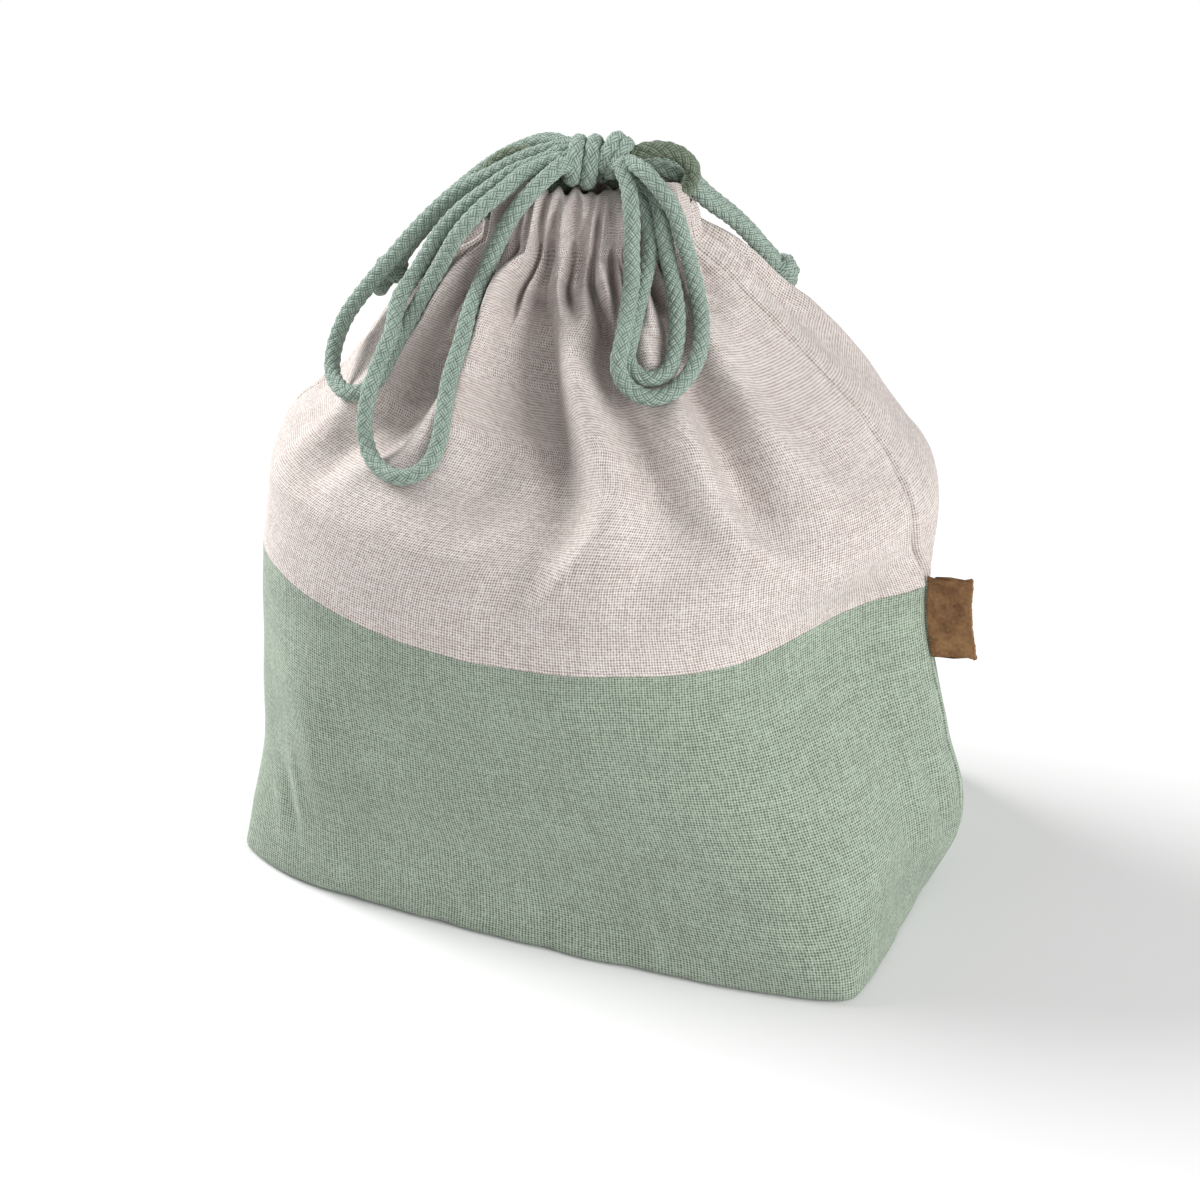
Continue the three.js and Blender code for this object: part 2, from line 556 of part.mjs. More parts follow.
// Tag: a leaf with a round inner edge, so that it can bend either way about the seam.
function sideTag() {
  const top = PANEL_SEAM_HEIGHT - TAG_BELOW_SEAM;
  const high = clothPoint(top, 0, 'front', 1);
  const low = clothPoint(top - TAG_HEIGHT, 0, 'front', 1);
  const up = high.clone().sub(low).normalize();
  const out = new THREE.Vector3(1, 0, 0).projectOnPlane(up).normalize();
  const radius = TAG_THICKNESS / 2;
  const leaf = new THREE.Shape();
  leaf.moveTo(0, radius);
  leaf.absarc(0, 0, radius, Math.PI / 2, 1.5 * Math.PI, false);
  leaf.lineTo(TAG_REACH - radius, -radius);
  leaf.lineTo(TAG_REACH - radius, radius);
  const solid = { depth: TAG_HEIGHT, bevelEnabled: false, curveSegments: TAG_EDGE_STEPS };
  const geometry = new THREE.ExtrudeGeometry(leaf, solid);
  const edge = low.clone().addScaledVector(out, radius + TAG_GAP);
  const stance = new THREE.Matrix4().makeBasis(out, up.clone().cross(out), up);
  return geometry.applyMatrix4(stance.setPosition(edge));
}

function cloth(colour, roughness) {
  return new THREE.MeshStandardMaterial({ color: colour, roughness, metalness: 0 });
}

const GREEN_CLOTH = cloth(0x9fae9f, 0.9);
const BEIGE_CLOTH = cloth(0xcfc4c0, 0.9);
const GREEN_CORD = cloth(0x8fb3a0, 0.85);
const CORK = cloth(0xa87d52, 0.95);

const bag = new THREE.Group();

function addPart(name, geometry, material) {
  const mesh = new THREE.Mesh(geometry, material);
  mesh.name = name;
  bag.add(mesh);
}

addPart('lower_panel', lowerPanel(), GREEN_CLOTH);
addPart('upper_front_panel', upperPanel('front'), BEIGE_CLOTH);
addPart('upper_back_panel', upperPanel('back'), BEIGE_CLOTH);
addPart('side_tag', sideTag(), CORK);

const leftRun = channelPath('left', LOWER_LANE_BELOW_RIM);
const rightRun = channelPath('right', UPPER_LANE_BELOW_RIM);
addPart('left_cord_run', cordTube(leftRun, { step: CHANNEL_CORD_STEP }), GREEN_CORD);
addPart('right_cord_run', cordTube(rightRun, { step: CHANNEL_CORD_STEP }), GREEN_CORD);
const LEADS = {
  left_lead_upper: [leftRun[0], leftRun[1]],
  left_lead_lower: [leftRun.at(-1), leftRun.at(-2)],
  right_lead_upper: [rightRun[0], rightRun[1]],
  right_lead_lower: [rightRun.at(-1), rightRun.at(-2)],
};
for (const [name, [end, before]] of Object.entries(LEADS)) {
  addPart(name, cordTube(leadPoints(end, before, LEAD_ROUTES[name]), { step: CORD_STEP / 2 }), GREEN_CORD);
}

addPart('bow_knot', bowKnot(), GREEN_CORD);
for (const [name, route] of Object.entries(LOOP_ROUTES)) {
  const points = routePoints(route);
  addPart(name, cordTube(points, { roundEnds: [points[0], points.at(-1)] }), GREEN_CORD);
}
for (const [name, route] of Object.entries(TAIL_ROUTES)) {
  const points = routePoints(route);
  addPart(name, cordTube(points, { roundEnds: [points[0]] }), GREEN_CORD);
}
addPart('left_end_knot', endKnot(TAIL_ROUTES.left_tail_front, TAIL_ROUTES.left_tail_rear), GREEN_CORD);
addPart('right_end_knot', endKnot(TAIL_ROUTES.right_tail_front, TAIL_ROUTES.right_tail_rear), GREEN_CORD);

export default bag;
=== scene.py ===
"""Looks of a drawstring lunch bag: two-coloured cloth, braided drawcords tied in a bow, a cork tag.

Shapes are worked out in millimetres in the frame of the CAD model (+Z up, -Y to the front) and
put into their meshes in metres.
"""
import math

import bpy
import numpy as np
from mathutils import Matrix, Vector


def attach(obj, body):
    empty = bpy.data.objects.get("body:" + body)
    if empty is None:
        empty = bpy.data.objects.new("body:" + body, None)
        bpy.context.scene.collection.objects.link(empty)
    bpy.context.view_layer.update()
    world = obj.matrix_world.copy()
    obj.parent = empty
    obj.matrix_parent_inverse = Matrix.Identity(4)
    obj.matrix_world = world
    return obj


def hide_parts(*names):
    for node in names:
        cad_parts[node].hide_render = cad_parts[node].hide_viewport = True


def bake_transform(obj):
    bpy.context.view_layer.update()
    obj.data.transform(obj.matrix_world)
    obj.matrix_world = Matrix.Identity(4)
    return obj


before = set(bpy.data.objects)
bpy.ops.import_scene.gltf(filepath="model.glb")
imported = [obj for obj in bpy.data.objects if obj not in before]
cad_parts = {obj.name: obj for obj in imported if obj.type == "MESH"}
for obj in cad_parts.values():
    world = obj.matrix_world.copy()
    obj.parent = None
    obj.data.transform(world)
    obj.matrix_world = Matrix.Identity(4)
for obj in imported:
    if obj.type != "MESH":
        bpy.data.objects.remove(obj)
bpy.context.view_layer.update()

MM = 0.001
CORD = 4.6
RIM_MIDDLE = np.array([-9.0, 6.0, 215.0])
KNOT_MIDDLE = np.array([-9.0, 2.0, 224.0])
NECK_TURN = math.radians(18)
ACROSS = np.array([math.cos(NECK_TURN), math.sin(NECK_TURN), 0.0])
BACKWARD = np.array([-math.sin(NECK_TURN), math.cos(NECK_TURN), 0.0])
UPWARD = np.array([0.0, 0.0, 1.0])
COLOUR_SEAM = 99.0
CHANNEL_FEET = (201.0, 207.0)
CHANNEL_MARGIN = 2.6
FLAT_WIDTH = 279.0

# The filled bag's sections: height, half widths left and right, half depths front and back, corner
# squareness front left, front right and back, seam ridge, middle x and y, turn and right seam angle.
SECTIONS = np.array([
    [0, 109, 98, 68, 66, 5, 14, 8, 3, 0, 0, 0, 0],
    [22.77, 105, 98, 70, 66, 4.6, 5, 5, 11, 0, 0, 0, 0],
    [54.945, 102, 91, 72, 66, 4.2, 2.6, 4, 12.5, 0, 0, 0, 0],
    [99, 104, 77, 72, 66, 3.6, 1.9, 3, 17, 0, 4, 0, 0],
    [126, 103, 92, 70, 67, 2.8, 1.9, 2.6, 3, -1, 5, 4, -9],
    [149, 82, 78.5, 56, 58, 2.3, 1.9, 1.85, 0, -3, 6, 8, -7],
    [174, 63, 52.5, 35, 39, 2, 1.8, 1.8, 0, -6, 6, 13, -7],
    [190, 45, 37, 22, 23, 2.2, 2.1, 2.2, 0, -8, 6, 16, -7],
    [199, 32, 28, 15, 16, 2.4, 2.4, 2.4, 0, -9, 6, 17, -6],
    [215, 29.5, 26.5, 13.5, 13.5, 2.4, 2.4, 2.4, 0, -9, 6, 18, 0],
], float)
SEAM_SPREAD = math.radians(10)
LEFT_RIDGE_SHARE = .5
ROW_SAMPLES = 481

# Folds of the front: share of the way from seam to seam, height, how far the fold stands out
# (or sinks in, below zero) and its half width.
FRONT_FOLDS = [
    # long bright ridge below the knot
    [(.393, 215, 2.2, 2.6), (.398, 211, 2.8, 2.6), (.437, 202, 3.2, 3), (.439, 194, 4, 3.6),
     (.487, 183, 5.2, 5), (.528, 168, 5.6, 7), (.570, 153, 5, 9), (.598, 142, 4, 10),
     (.612, 131, 2.6, 11), (.605, 120, 1.2, 11), (.59, 108, 0, 11)],
    # ridge to the left of it
    [(.269, 215, 2.2, 2.4), (.276, 206, 3, 2.5), (.279, 199, 3.4, 2.8), (.275, 193, 4, 3.5),
     (.284, 185, 4.4, 4.4), (.303, 178, 4.4, 5), (.308, 170, 4.2, 5.5), (.312, 163, 3.6, 6.5),
     (.325, 151, 2.2, 10), (.34, 143, 1, 12), (.35, 132, 0, 14)],
    # wide valley between them, deepest beside the long ridge
    [(.340, 208, 0, 3), (.352, 200, -2.5, 3.4), (.385, 194, -5, 5), (.415, 188, -6.4, 5.5),
     (.445, 177, -7.8, 6.5), (.472, 166, -8, 7.5), (.500, 155, -7.2, 8.5), (.520, 146, -6, 9),
     (.534, 135, -4, 9.5), (.527, 122, -1.7, 9.5), (.515, 110, 0, 9)],
    [(.37, 196, 0, 6), (.385, 186, -3.2, 8), (.40, 176, -4.8, 11), (.415, 165, -5.2, 13),
     (.43, 153, -4.2, 14), (.44, 140, -2.2, 14), (.44, 128, 0, 14)],
    [(.348, 215, 1.6, 1.6), (.352, 209, 1.8, 1.6), (.36, 203, 1, 1.6), (.36, 198, 0, 1.6)],
    # deep crease to the right of the long ridge
    [(.445, 214, -1, 1.6), (.469, 203, -2.6, 2.2), (.48, 196, -4.2, 3), (.488, 190, -3.6, 4),
     (.51, 182, -1.6, 5), (.53, 172, 0, 6)],
    # winding ridge
    [(.485, 215, 2, 2), (.517, 205, 2.8, 2.2), (.554, 197, 3.6, 2.6), (.588, 190, 3.6, 3.2),
     (.605, 186, 2.5, 3.5), (.62, 178, 0, 4)],
    [(.553, 215, 2, 2), (.558, 211, 2.3, 2), (.598, 201, 2.8, 2.6), (.63, 192, 2.8, 3.5),
     (.655, 182, 2, 5), (.66, 172, 1, 6), (.66, 160, 0, 8)],
    # dark pocket under the right loops and the valley below it
    [(.56, 196, 0, 2), (.578, 189, -2.5, 2.4), (.590, 184, -5, 3), (.592, 175, -4.4, 4),
     (.597, 166, -3.6, 5.5), (.612, 160, -3.4, 6.5), (.630, 152, -3, 7.5), (.652, 145, -2.4, 8),
     (.678, 140, -1.6, 8.5), (.70, 134, 0, 9)],
    # right main ridge and the valley beside it
    [(.691, 215, 2, 2.4), (.69, 194, 2.6, 3.5), (.686, 188, 2.6, 4), (.680, 176, 2, 5),
     (.692, 165, 3, 6), (.698, 155, 4.4, 7), (.718, 143, 4, 7.5), (.748, 136, 2.8, 8),
     (.785, 130, 1.2, 8), (.81, 124, 0, 9)],
    [(.735, 200, -1, 3), (.75, 186, -2.4, 4.5), (.755, 176, -3.2, 5.5), (.748, 166, -3.8, 6.5),
     (.748, 155, -4.2, 7), (.762, 145, -3.8, 7.5), (.787, 137, -2.8, 8), (.825, 130, -1.2, 8.5),
     (.85, 124, 0, 9)],
    # softer ridge and valley towards the right seam
    [(.80, 204, 1, 4), (.803, 179, 2.4, 6), (.810, 169, 2.8, 7), (.816, 159, 3, 8),
     (.830, 151, 2.6, 9), (.858, 143, 1.6, 10), (.885, 133, 0, 11)],
    [(.85, 175, 0, 6), (.855, 163, -1.2, 7), (.868, 154, -1.4, 8), (.887, 144, -.8, 9),
     (.90, 136, 0, 9)],
    # left shoulder: a roll, a valley, a dark wedge and a second roll below the front loop
    [(.10, 215, 2, 2.4), (.12, 205, 2.5, 2.6), (.15, 190, 3, 4), (.165, 172, 3.4, 6),
     (.164, 160, 3.4, 7), (.162, 152, 3.2, 8), (.164, 140, 2.4, 9), (.165, 129, .8, 11),
     (.165, 119, 0, 12)],
    [(.19, 205, -1.6, 2.4), (.19, 193, -3, 3), (.2, 180, -3, 5), (.19, 160, -3, 6),
     (.194, 147, -3, 6.5), (.207, 137, -1.5, 8), (.21, 127, 0, 9)],
    [(.235, 196, 0, 2.5), (.245, 182, -3.2, 5), (.238, 170, -4.4, 8), (.236, 160, -4.4, 8),
     (.25, 151, -2.8, 7), (.262, 142, 0, 7)],
    [(.32, 166, 0, 5), (.309, 160, .6, 5), (.299, 151, 1.2, 5.5), (.279, 144, 1.2, 6),
     (.261, 139, .9, 7), (.25, 129, 0, 9)],
    [(.195, 215, 1.8, 2.2), (.205, 206, 2.4, 2.4), (.215, 197, 2.2, 3), (.235, 188, 0, 4)],
    [(.19, 197, 0, 2), (.205, 191, -3, 2.2), (.232, 185, -3.6, 2.6), (.262, 179, -2.6, 3.2),
     (.28, 170, 0, 4)],
    [(.04, 215, 1.4, 2.2), (.045, 195, 2, 3), (.05, 175, 2, 5), (.05, 150, 0, 8)],
    [(.622, 215, 1.6, 2), (.64, 205, 1.9, 2.2), (.655, 196, 1.4, 2.6), (.66, 189, 0, 3)],
    # crease above the colour change
    [(.595, 150, 0, 4), (.586, 140, 1.2, 5), (.575, 131, 1.8, 5), (.557, 120, 1.8, 5.5),
     (.535, 111, 0, 5.5)],
]


def fold_field(folds, share, z, length):
    """Height of the folds: each is a smooth ridge exp(-(d/w)^2) whose middle, height and half width
    run between its given stations, d being the distance along the row."""
    total = np.zeros_like(share)
    for stations in folds:
        at = np.array(stations[::-1], float)
        middle, height, width = (np.interp(z, at[:, 1], at[:, k]) for k in (0, 2, 3))
        shown = (z >= at[0, 1]) & (z <= at[-1, 1] + 0.01)
        across = (share - middle[:, None]) * length[:, None] / width[:, None]
        total += np.where(shown, height, 0)[:, None] * np.exp(-across ** 2)
    return total


def crevices(lines):
    """Narrow deep pleats between the ridges: lines give their share at the neck, half way down and
    at the foot, and the height at which they run out."""
    folds = []
    for neck, middle, low, foot in lines:
        half_way = (foot + 199) / 2
        folds.append([
            (neck, 215, -.6, .8), (neck, 203, -1.6, .9), (neck, 199, -4.5, 1.0), (neck, 193, -9.0, 1.2),
            (neck * .6 + middle * .4, half_way * .4 + 116, -9.0, 1.5), (middle, half_way, -5.5, 2.4),
            (middle * .4 + low * .6, half_way * .5 + foot * .5, -2.0, 4.0), (low, foot, 0, 6.0)])
    return folds


FRONT_CREVICES = crevices([
    (.045, .05, .06, 165), (.095, .105, .11, 155), (.160, .178, .18, 152), (.240, .245, .25, 158),
    (.318, .33, .345, 166), (.372, .385, .41, 168), (.462, .49, .52, 174), (.548, .575, .60, 172),
    (.612, .63, .65, 160), (.665, .665, .70, 170), (.745, .75, .77, 174), (.80, .805, .81, 180),
    (.855, .86, .87, 178), (.91, .915, .92, 182), (.955, .955, .96, 184)])
BACK_GATHERS = 11


def back_folds():
    """Gathers of the back: evenly spread ridges that widen downwards and end at uneven heights,
    with a crevice between each two."""
    rng = np.random.default_rng(4)
    folds, lines = [], []
    for k in range(BACK_GATHERS):
        share = (k + .5 + rng.uniform(-.2, .2)) / BACK_GATHERS
        lean = rng.uniform(-.03, .03)
        foot = rng.uniform(128, 172)
        strong = rng.uniform(2.2, 4.2)
        half_way = (foot + 200) / 2
        folds.append([
            (share, 215, 2.0, 2.4), (share, 202, 2.8, 2.6), (share + lean * .4, half_way, strong, 5.5),
            (share + lean, foot + 12, strong * .5, 9.0), (share + lean, foot, 0, 11.0)])
        dip = share + .5 / BACK_GATHERS
        lines.append((dip, dip + lean * .5, dip + lean, rng.uniform(145, 170)))
    return folds, crevices(lines)


# Height of the colour change above level, by the share across the front.
SEAM_WAVE = np.array([
    [0, 4], [.13, 5], [.19, 5.4], [.229, 5.3], [.268, 3.4], [.338, .1], [.398, -2.7], [.476, -4.6],
    [.553, -3.8], [.636, -2.4], [.708, -2.8], [.761, -2.4], [.835, .7], [.904, 2], [.938, 3.6], [1, 4]])
# The base's edge on the ground, from the front left corner along the front and the right side, and
# the height up to which it draws the wall out.
BASE_EDGE = np.array([
    [-104.4, -54.2], [-96.4, -59.3], [-86.7, -63.6], [-75.7, -66.4], [-63.3, -67.5], [-50.2, -68.9],
    [-32.7, -70.2], [-15, -71.9], [1.8, -72.3], [28.7, -72.7], [44.3, -72.9], [61.1, -72.6],
    [74.5, -71.4], [86, -70], [92.6, -68.1], [96, -65.5], [97.6, -58.2], [99, -46.6], [100, -29.3],
    [101, -10.4], [102, 6.2]])
BASE_REACH = 36
# Folds of the lower part: the bend beside the pale left facet, crinkles by its corner, and creases
# by the right seam.
GREEN_FOLDS = [
    [(.272, 92, 0, 8), (.275, 70, 1.2, 8), (.28, 40, 1.6, 7), (.285, 6, 1, 6)],
    [(.20, 90, 0, 9), (.205, 60, -1.6, 9), (.21, 25, -1.4, 9), (.21, 6, 0, 8)],
    [(.235, 52, 0, 2.5), (.245, 40, .9, 2.5), (.25, 28, .9, 2.5), (.26, 14, 0, 2.5)],
    [(.215, 44, 0, 2.5), (.228, 34, -.9, 2.5), (.238, 22, -.9, 2.5), (.245, 10, 0, 2.5)],
    [(.205, 34, 0, 2.2), (.215, 26, .8, 2.2), (.22, 12, 0, 2.2)],
    [(.93, 62, 0, 3), (.94, 48, 1.3, 3), (.945, 34, 1.3, 3), (.95, 20, 0, 3)],
    [(.955, 58, 0, 2.5), (.962, 44, -1.2, 2.5), (.968, 30, -1.2, 2.5), (.972, 18, 0, 2.5)],
    [(.90, 44, 0, 3), (.915, 32, -.9, 3), (.93, 16, 0, 3)],
]


def section_measures(z):
    """Every section measure at heights z: a monotone cubic through the stations, its slopes the
    harmonic means of the neighbouring secants and none where these change sign."""
    height, value = SECTIONS[:, 0], SECTIONS[:, 1:]
    rise = np.diff(height)
    secant = np.diff(value, axis=0) / rise[:, None]
    product, total = secant[:-1] * secant[1:], secant[:-1] + secant[1:]
    inner = np.where(product > 0, 2 * product / np.where(total == 0, 1, total), 0)
    slope = np.vstack([secant[:1], inner, secant[-1:]])
    z = np.clip(z, height[0], height[-1])
    i = np.clip(np.searchsorted(height, z) - 1, 0, len(height) - 2)
    span, t = rise[i][:, None], ((z - height[i]) / rise[i])[:, None]
    start = (value[i] * (1 + 2 * t) + slope[i] * span * t) * (1 - t) ** 2
    end = (value[i + 1] * (3 - 2 * t) - slope[i + 1] * span * (1 - t)) * t * t
    return (start + end).T


def wall(z, share, half):
    """The bag's wall without folds: for rows of heights and shares from seam to seam, the place on
    the outside, the level direction inwards and the row's length. A section is a superellipse in
    each quarter with a soft ridge at each seam, measured along its length."""
    left, right, front, back, fl, fr, bk, fin, cx, cy, turn, seam = (m[:, None] for m in section_measures(z))
    seam, turn = np.radians(seam), np.radians(turn)
    begin, stop = (-np.pi + 0 * seam, seam) if half == "front" else (seam, np.pi + 0 * seam)
    angle = begin + (stop - begin) * np.linspace(0, 1, ROW_SAMPLES)
    c, s = np.cos(angle), np.sin(angle)
    a, b = np.where(c >= 0, right, left), np.where(s >= 0, back, front)
    n = np.where(s < 0, np.where(c >= 0, fr, fl), bk)
    r = (np.abs(c / a) ** n + np.abs(s / b) ** n) ** (-1 / n)
    turned = np.arctan2(s, c)
    ridge = np.exp(-(turned / SEAM_SPREAD) ** 2) \
        + LEFT_RIDGE_SHARE * np.exp(-((np.abs(turned) - np.pi) / SEAM_SPREAD) ** 2)
    x, y = (r + fin * ridge) * c, (r + fin * ridge) * s
    along = np.pad(np.cumsum(np.hypot(np.diff(x), np.diff(y)), axis=1), ((0, 0), (1, 0)))
    length = along[:, -1]
    rows = range(len(z))
    px = np.stack([np.interp(share[k] * length[k], along[k], x[k]) for k in rows])
    py = np.stack([np.interp(share[k] * length[k], along[k], y[k]) for k in rows])
    depth = np.minimum(front, back)
    ix = np.clip(px, -np.maximum(left - depth, 0), np.maximum(right - depth, 0)) - px
    size = np.hypot(ix, py)
    ix, iy = ix / size, -py / size
    ct, st = np.cos(turn), np.sin(turn)
    level = np.broadcast_to(z[:, None], px.shape)
    place = np.stack([cx + px * ct - py * st, cy + px * st + py * ct, level], -1)
    inward = np.stack([ix * ct - iy * st, ix * st + iy * ct, np.zeros_like(ix)], -1)
    return place, inward, length


def outward_normals(place, inward):
    """Unit normals of a grid of points, from its two differences, turned away from the inside."""
    normal = np.cross(np.gradient(place, axis=1), np.gradient(place, axis=0))
    normal /= np.linalg.norm(normal, axis=-1, keepdims=True) + 1e-12
    side = np.sign(-(normal * inward).sum(-1, keepdims=True))
    return normal * np.where(side == 0, 1, side)


SLACK_WAVES = 9
SLACK_LENGTHS = (24, 70)


def soft_waves(place, size, seed):
    """Slack of the cloth: a sum of a few plane waves with fixed directions, about `size` high."""
    rng = np.random.default_rng(seed)
    total = np.zeros(place.shape[:-1])
    for _ in range(SLACK_WAVES):
        wave = rng.normal(size=3)
        wave *= 2 * np.pi / rng.uniform(*SLACK_LENGTHS) / np.linalg.norm(wave)
        total += np.sin(place @ wave + rng.uniform(0, 6.28))
    return size * total / math.sqrt(SLACK_WAVES)


def seam_pull(distance, z, seed):
    """Sewn edge: cloth tucked in at the seam, a low ridge beside it, and puckers along it."""
    rng = np.random.default_rng(seed)
    pucker = sum(np.sin(z / rng.uniform(1.6, 5.0) + rng.uniform(0, 6.28)) for _ in range(4)) / 4
    tuck = -1.5 * np.exp(-(distance / .8) ** 2)
    ridge = (.55 + .35 * pucker)[:, None] * np.exp(-((distance - 2.4) / 1.5) ** 2)
    dent = -.35 * pucker[:, None] * np.exp(-((distance - 6) / 3) ** 2)
    return tuck + ridge + dent


def grid_mesh(place, uv, around=False, caps=False):
    """Points, quads, map corners and end faces of a grid: quads between neighbouring rows and columns,
    closed round the columns if wanted, with the first and last rows filled if they are capped rings."""
    rows, cols = place.shape[:2]
    across = cols if around else cols - 1
    i, j = np.meshgrid(np.arange(rows - 1), np.arange(across), indexing="ij")
    k = (j + 1) % cols
    quads = np.stack([i * cols + j, i * cols + k, (i + 1) * cols + k, (i + 1) * cols + j], -1).reshape(-1, 4)
    corner = np.stack([uv[i, j], uv[i, j + 1], uv[i + 1, j + 1], uv[i + 1, j]], -2).reshape(-1, 2)
    ring = np.arange(cols)
    ends = [ring[::-1], (rows - 1) * cols + ring] if caps else []
    return place.reshape(-1, 3), quads, corner, ends


def make_object(name, parts, material, body, replaced):
    """One smooth-shaded object from grids of points, put in one mesh; it rides on its body if given."""
    points, quads, corners, fills, base = [], [], [], [], 0
    for place, faces, uv, ends in parts:
        points.append(place)
        quads.append(faces + base)
        corners.append(uv)
        fills += [end + base for end in ends]
        base += len(place)
    points, quads, corners = np.concatenate(points), np.concatenate(quads), np.concatenate(corners)
    loops = np.concatenate([quads.ravel(), *fills]).astype(np.int32)
    sizes = np.concatenate([np.full(len(quads), 4), [len(f) for f in fills]]).astype(np.int32)
    mesh = bpy.data.meshes.new(name)
    mesh.vertices.add(len(points))
    mesh.vertices.foreach_set("co", (points * MM).astype(np.float32).ravel())
    mesh.loops.add(len(loops))
    mesh.loops.foreach_set("vertex_index", loops)
    mesh.polygons.add(len(sizes))
    mesh.polygons.foreach_set("loop_start", np.concatenate([[0], np.cumsum(sizes)[:-1]]).astype(np.int32))
    layer = mesh.uv_layers.new(name="cloth")
    flat = np.zeros((len(loops), 2), np.float32)
    flat[:len(corners)] = corners * MM
    layer.data.foreach_set("uv", flat.ravel())
    mesh.polygons.foreach_set("use_smooth", np.ones(len(sizes), bool))
    mesh.update(calc_edges=True)
    mesh.validate()
    mesh.materials.append(material)
    piece = bpy.data.objects.new(name, mesh)
    bpy.context.scene.collection.objects.link(piece)
    if body:
        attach(piece, body)
    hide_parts(*replaced)
    return piece


# Points along the cords, from the middle of the rim: the bow's loops and tails from the knot out, and
# each drawcord's upper lead, from the channel to the knot, and lower lead, from the channel inwards.
LOOPS = {
    "left_loop_front": [
        [-9.2, -4.9, 9], [-13.5, -7.6, 6.8], [-20, -13.5, 5], [-26, -19, 1], [-33, -22, -5],
        [-39, -23, -12.5], [-45.5, -23, -24], [-49.4, -29.3, -31.5], [-48.5, -38.5, -38.5],
        [-50, -43.5, -44.5], [-51, -50, -52], [-51.5, -53, -59.5], [-50.5, -55, -65.5],
        [-45.5, -59.5, -69.5], [-39, -62.5, -70.5], [-33.5, -62, -69.5], [-29, -59.5, -65.5],
        [-27.3, -56, -59.2], [-27.5, -51.9, -52.6], [-27.8, -46, -45.2], [-26.8, -40, -37.7],
        [-26.3, -33.5, -30.2], [-25, -26.4, -23.1],
        [-21.5, -23, -13], [-16.5, -23, -3], [-11.2, -19.4, 4], [-6.1, -14.4, 9]],
    "left_loop_rear": [
        [-10.7, -0.5, 8.4], [-15.8, -3.7, 7.5], [-22.1, -8, 5.3], [-28.1, -12.4, 2.3], [-35.7, -14.9, -2],
        [-42, -16.5, -8], [-49.5, -18, -16.5], [-56, -19.5, -25], [-63, -21.5, -34], [-69, -24, -43.5],
        [-71.5, -27.5, -52.5], [-69.5, -33.5, -57.5], [-62, -41.5, -58], [-56, -44, -57.5],
        [-52.5, -43.5, -54.5], [-50.5, -38.5, -48.5], [-48, -33, -41.5], [-44.5, -28, -34],
        [-38.5, -25.5, -22], [-31.5, -27, -9.5], [-25.5, -25.5, -2], [-20, -21.5, 3],
        [-16, -16.5, 6.3], [-11.4, -12, 7.9], [-7.6, -9.6, 9]],
    "right_loop_outer": [
        [10.4, -8.8, 9.4], [14, -13.2, 5.7], [16.2, -17.3, 2], [17, -18.5, -3.5], [17, -19, -11],
        [17.5, -20, -19], [18.5, -26.7, -26.2], [19.5, -34.7, -32.7], [19.3, -38.2, -38.7],
        [22.3, -39.1, -45], [28, -37.8, -46.5], [33.5, -34.8, -45.5], [37.5, -29.5, -41.7],
        [38.8, -24, -37], [37.3, -17, -31.5], [34, -11, -25], [31.5, -10.5, -16], [30.3, -14, -7],
        [28.1, -14.2, 0], [25.1, -14.2, 4.7], [21.1, -13.5, 8.7], [17.1, -11.3, 10.5],
        [12.6, -7.5, 10.1]],
    "right_loop_inner": [
        [12.4, -2.4, 4.5], [15.6, -5.4, 2.4], [18.2, -8.8, -.8], [19.6, -10.8, -5], [20.4, -11.6, -10.5],
        [19.6, -11.9, -17.3], [19.5, -18.8, -25.7], [20, -26.8, -32.2], [21, -34.3, -39.5],
        [24.5, -36.4, -43.1], [28.5, -35.4, -44.2], [31.7, -31.8, -41.5], [32.2, -25, -36],
        [30.3, -18, -29], [26.5, -11.5, -21], [25, -11.8, -12.9], [24.3, -12.9, -5.7],
        [22.8, -11.5, -.3], [19.5, -8.7, 3.8], [14.4, -5.7, 7]],
}
TAILS = {
    "left_tail_front": [
        [-8.6, 3.1, 6.4], [-16.4, 4.5, 6.7], [-22, 2.9, 5.9], [-27.1, 0.5, 3.6], [-32.2, -1.8, 0.1],
        [-39.5, -3.5, -6.5], [-46.5, -6, -13.5], [-53, -8.5, -21.5], [-56, -11.5, -27.5]],
    "left_tail_rear": [
        [-10.2, 7.6, 5.8], [-17.3, 9.4, 5.9], [-23.1, 8, 4.1], [-28.5, 5.5, 1.2], [-33.9, 3.5, -2.7],
        [-40.7, 1, -9.4], [-47.8, -1, -16.3], [-54, -4, -23.7], [-57.7, -7, -29.2]],
    "right_tail_front": [
        [8.5, 7, 4.2], [16, 8.8, 2.4], [22.5, 10.8, -.6], [28.6, 14, -7.8], [34.8, 20.4, -15.6],
        [38.8, 26, -23], [41, 30, -28.5], [43, 33, -33.6]],
    "right_tail_rear": [
        [6.5, 12, 3.6], [15, 14.2, 2], [21.5, 16.2, -1.4], [26.6, 19.8, -8.4], [32.4, 26.4, -16.8],
        [36.6, 31.4, -23.9], [39.2, 35.2, -29.6], [41.8, 38, -34.3]],
}
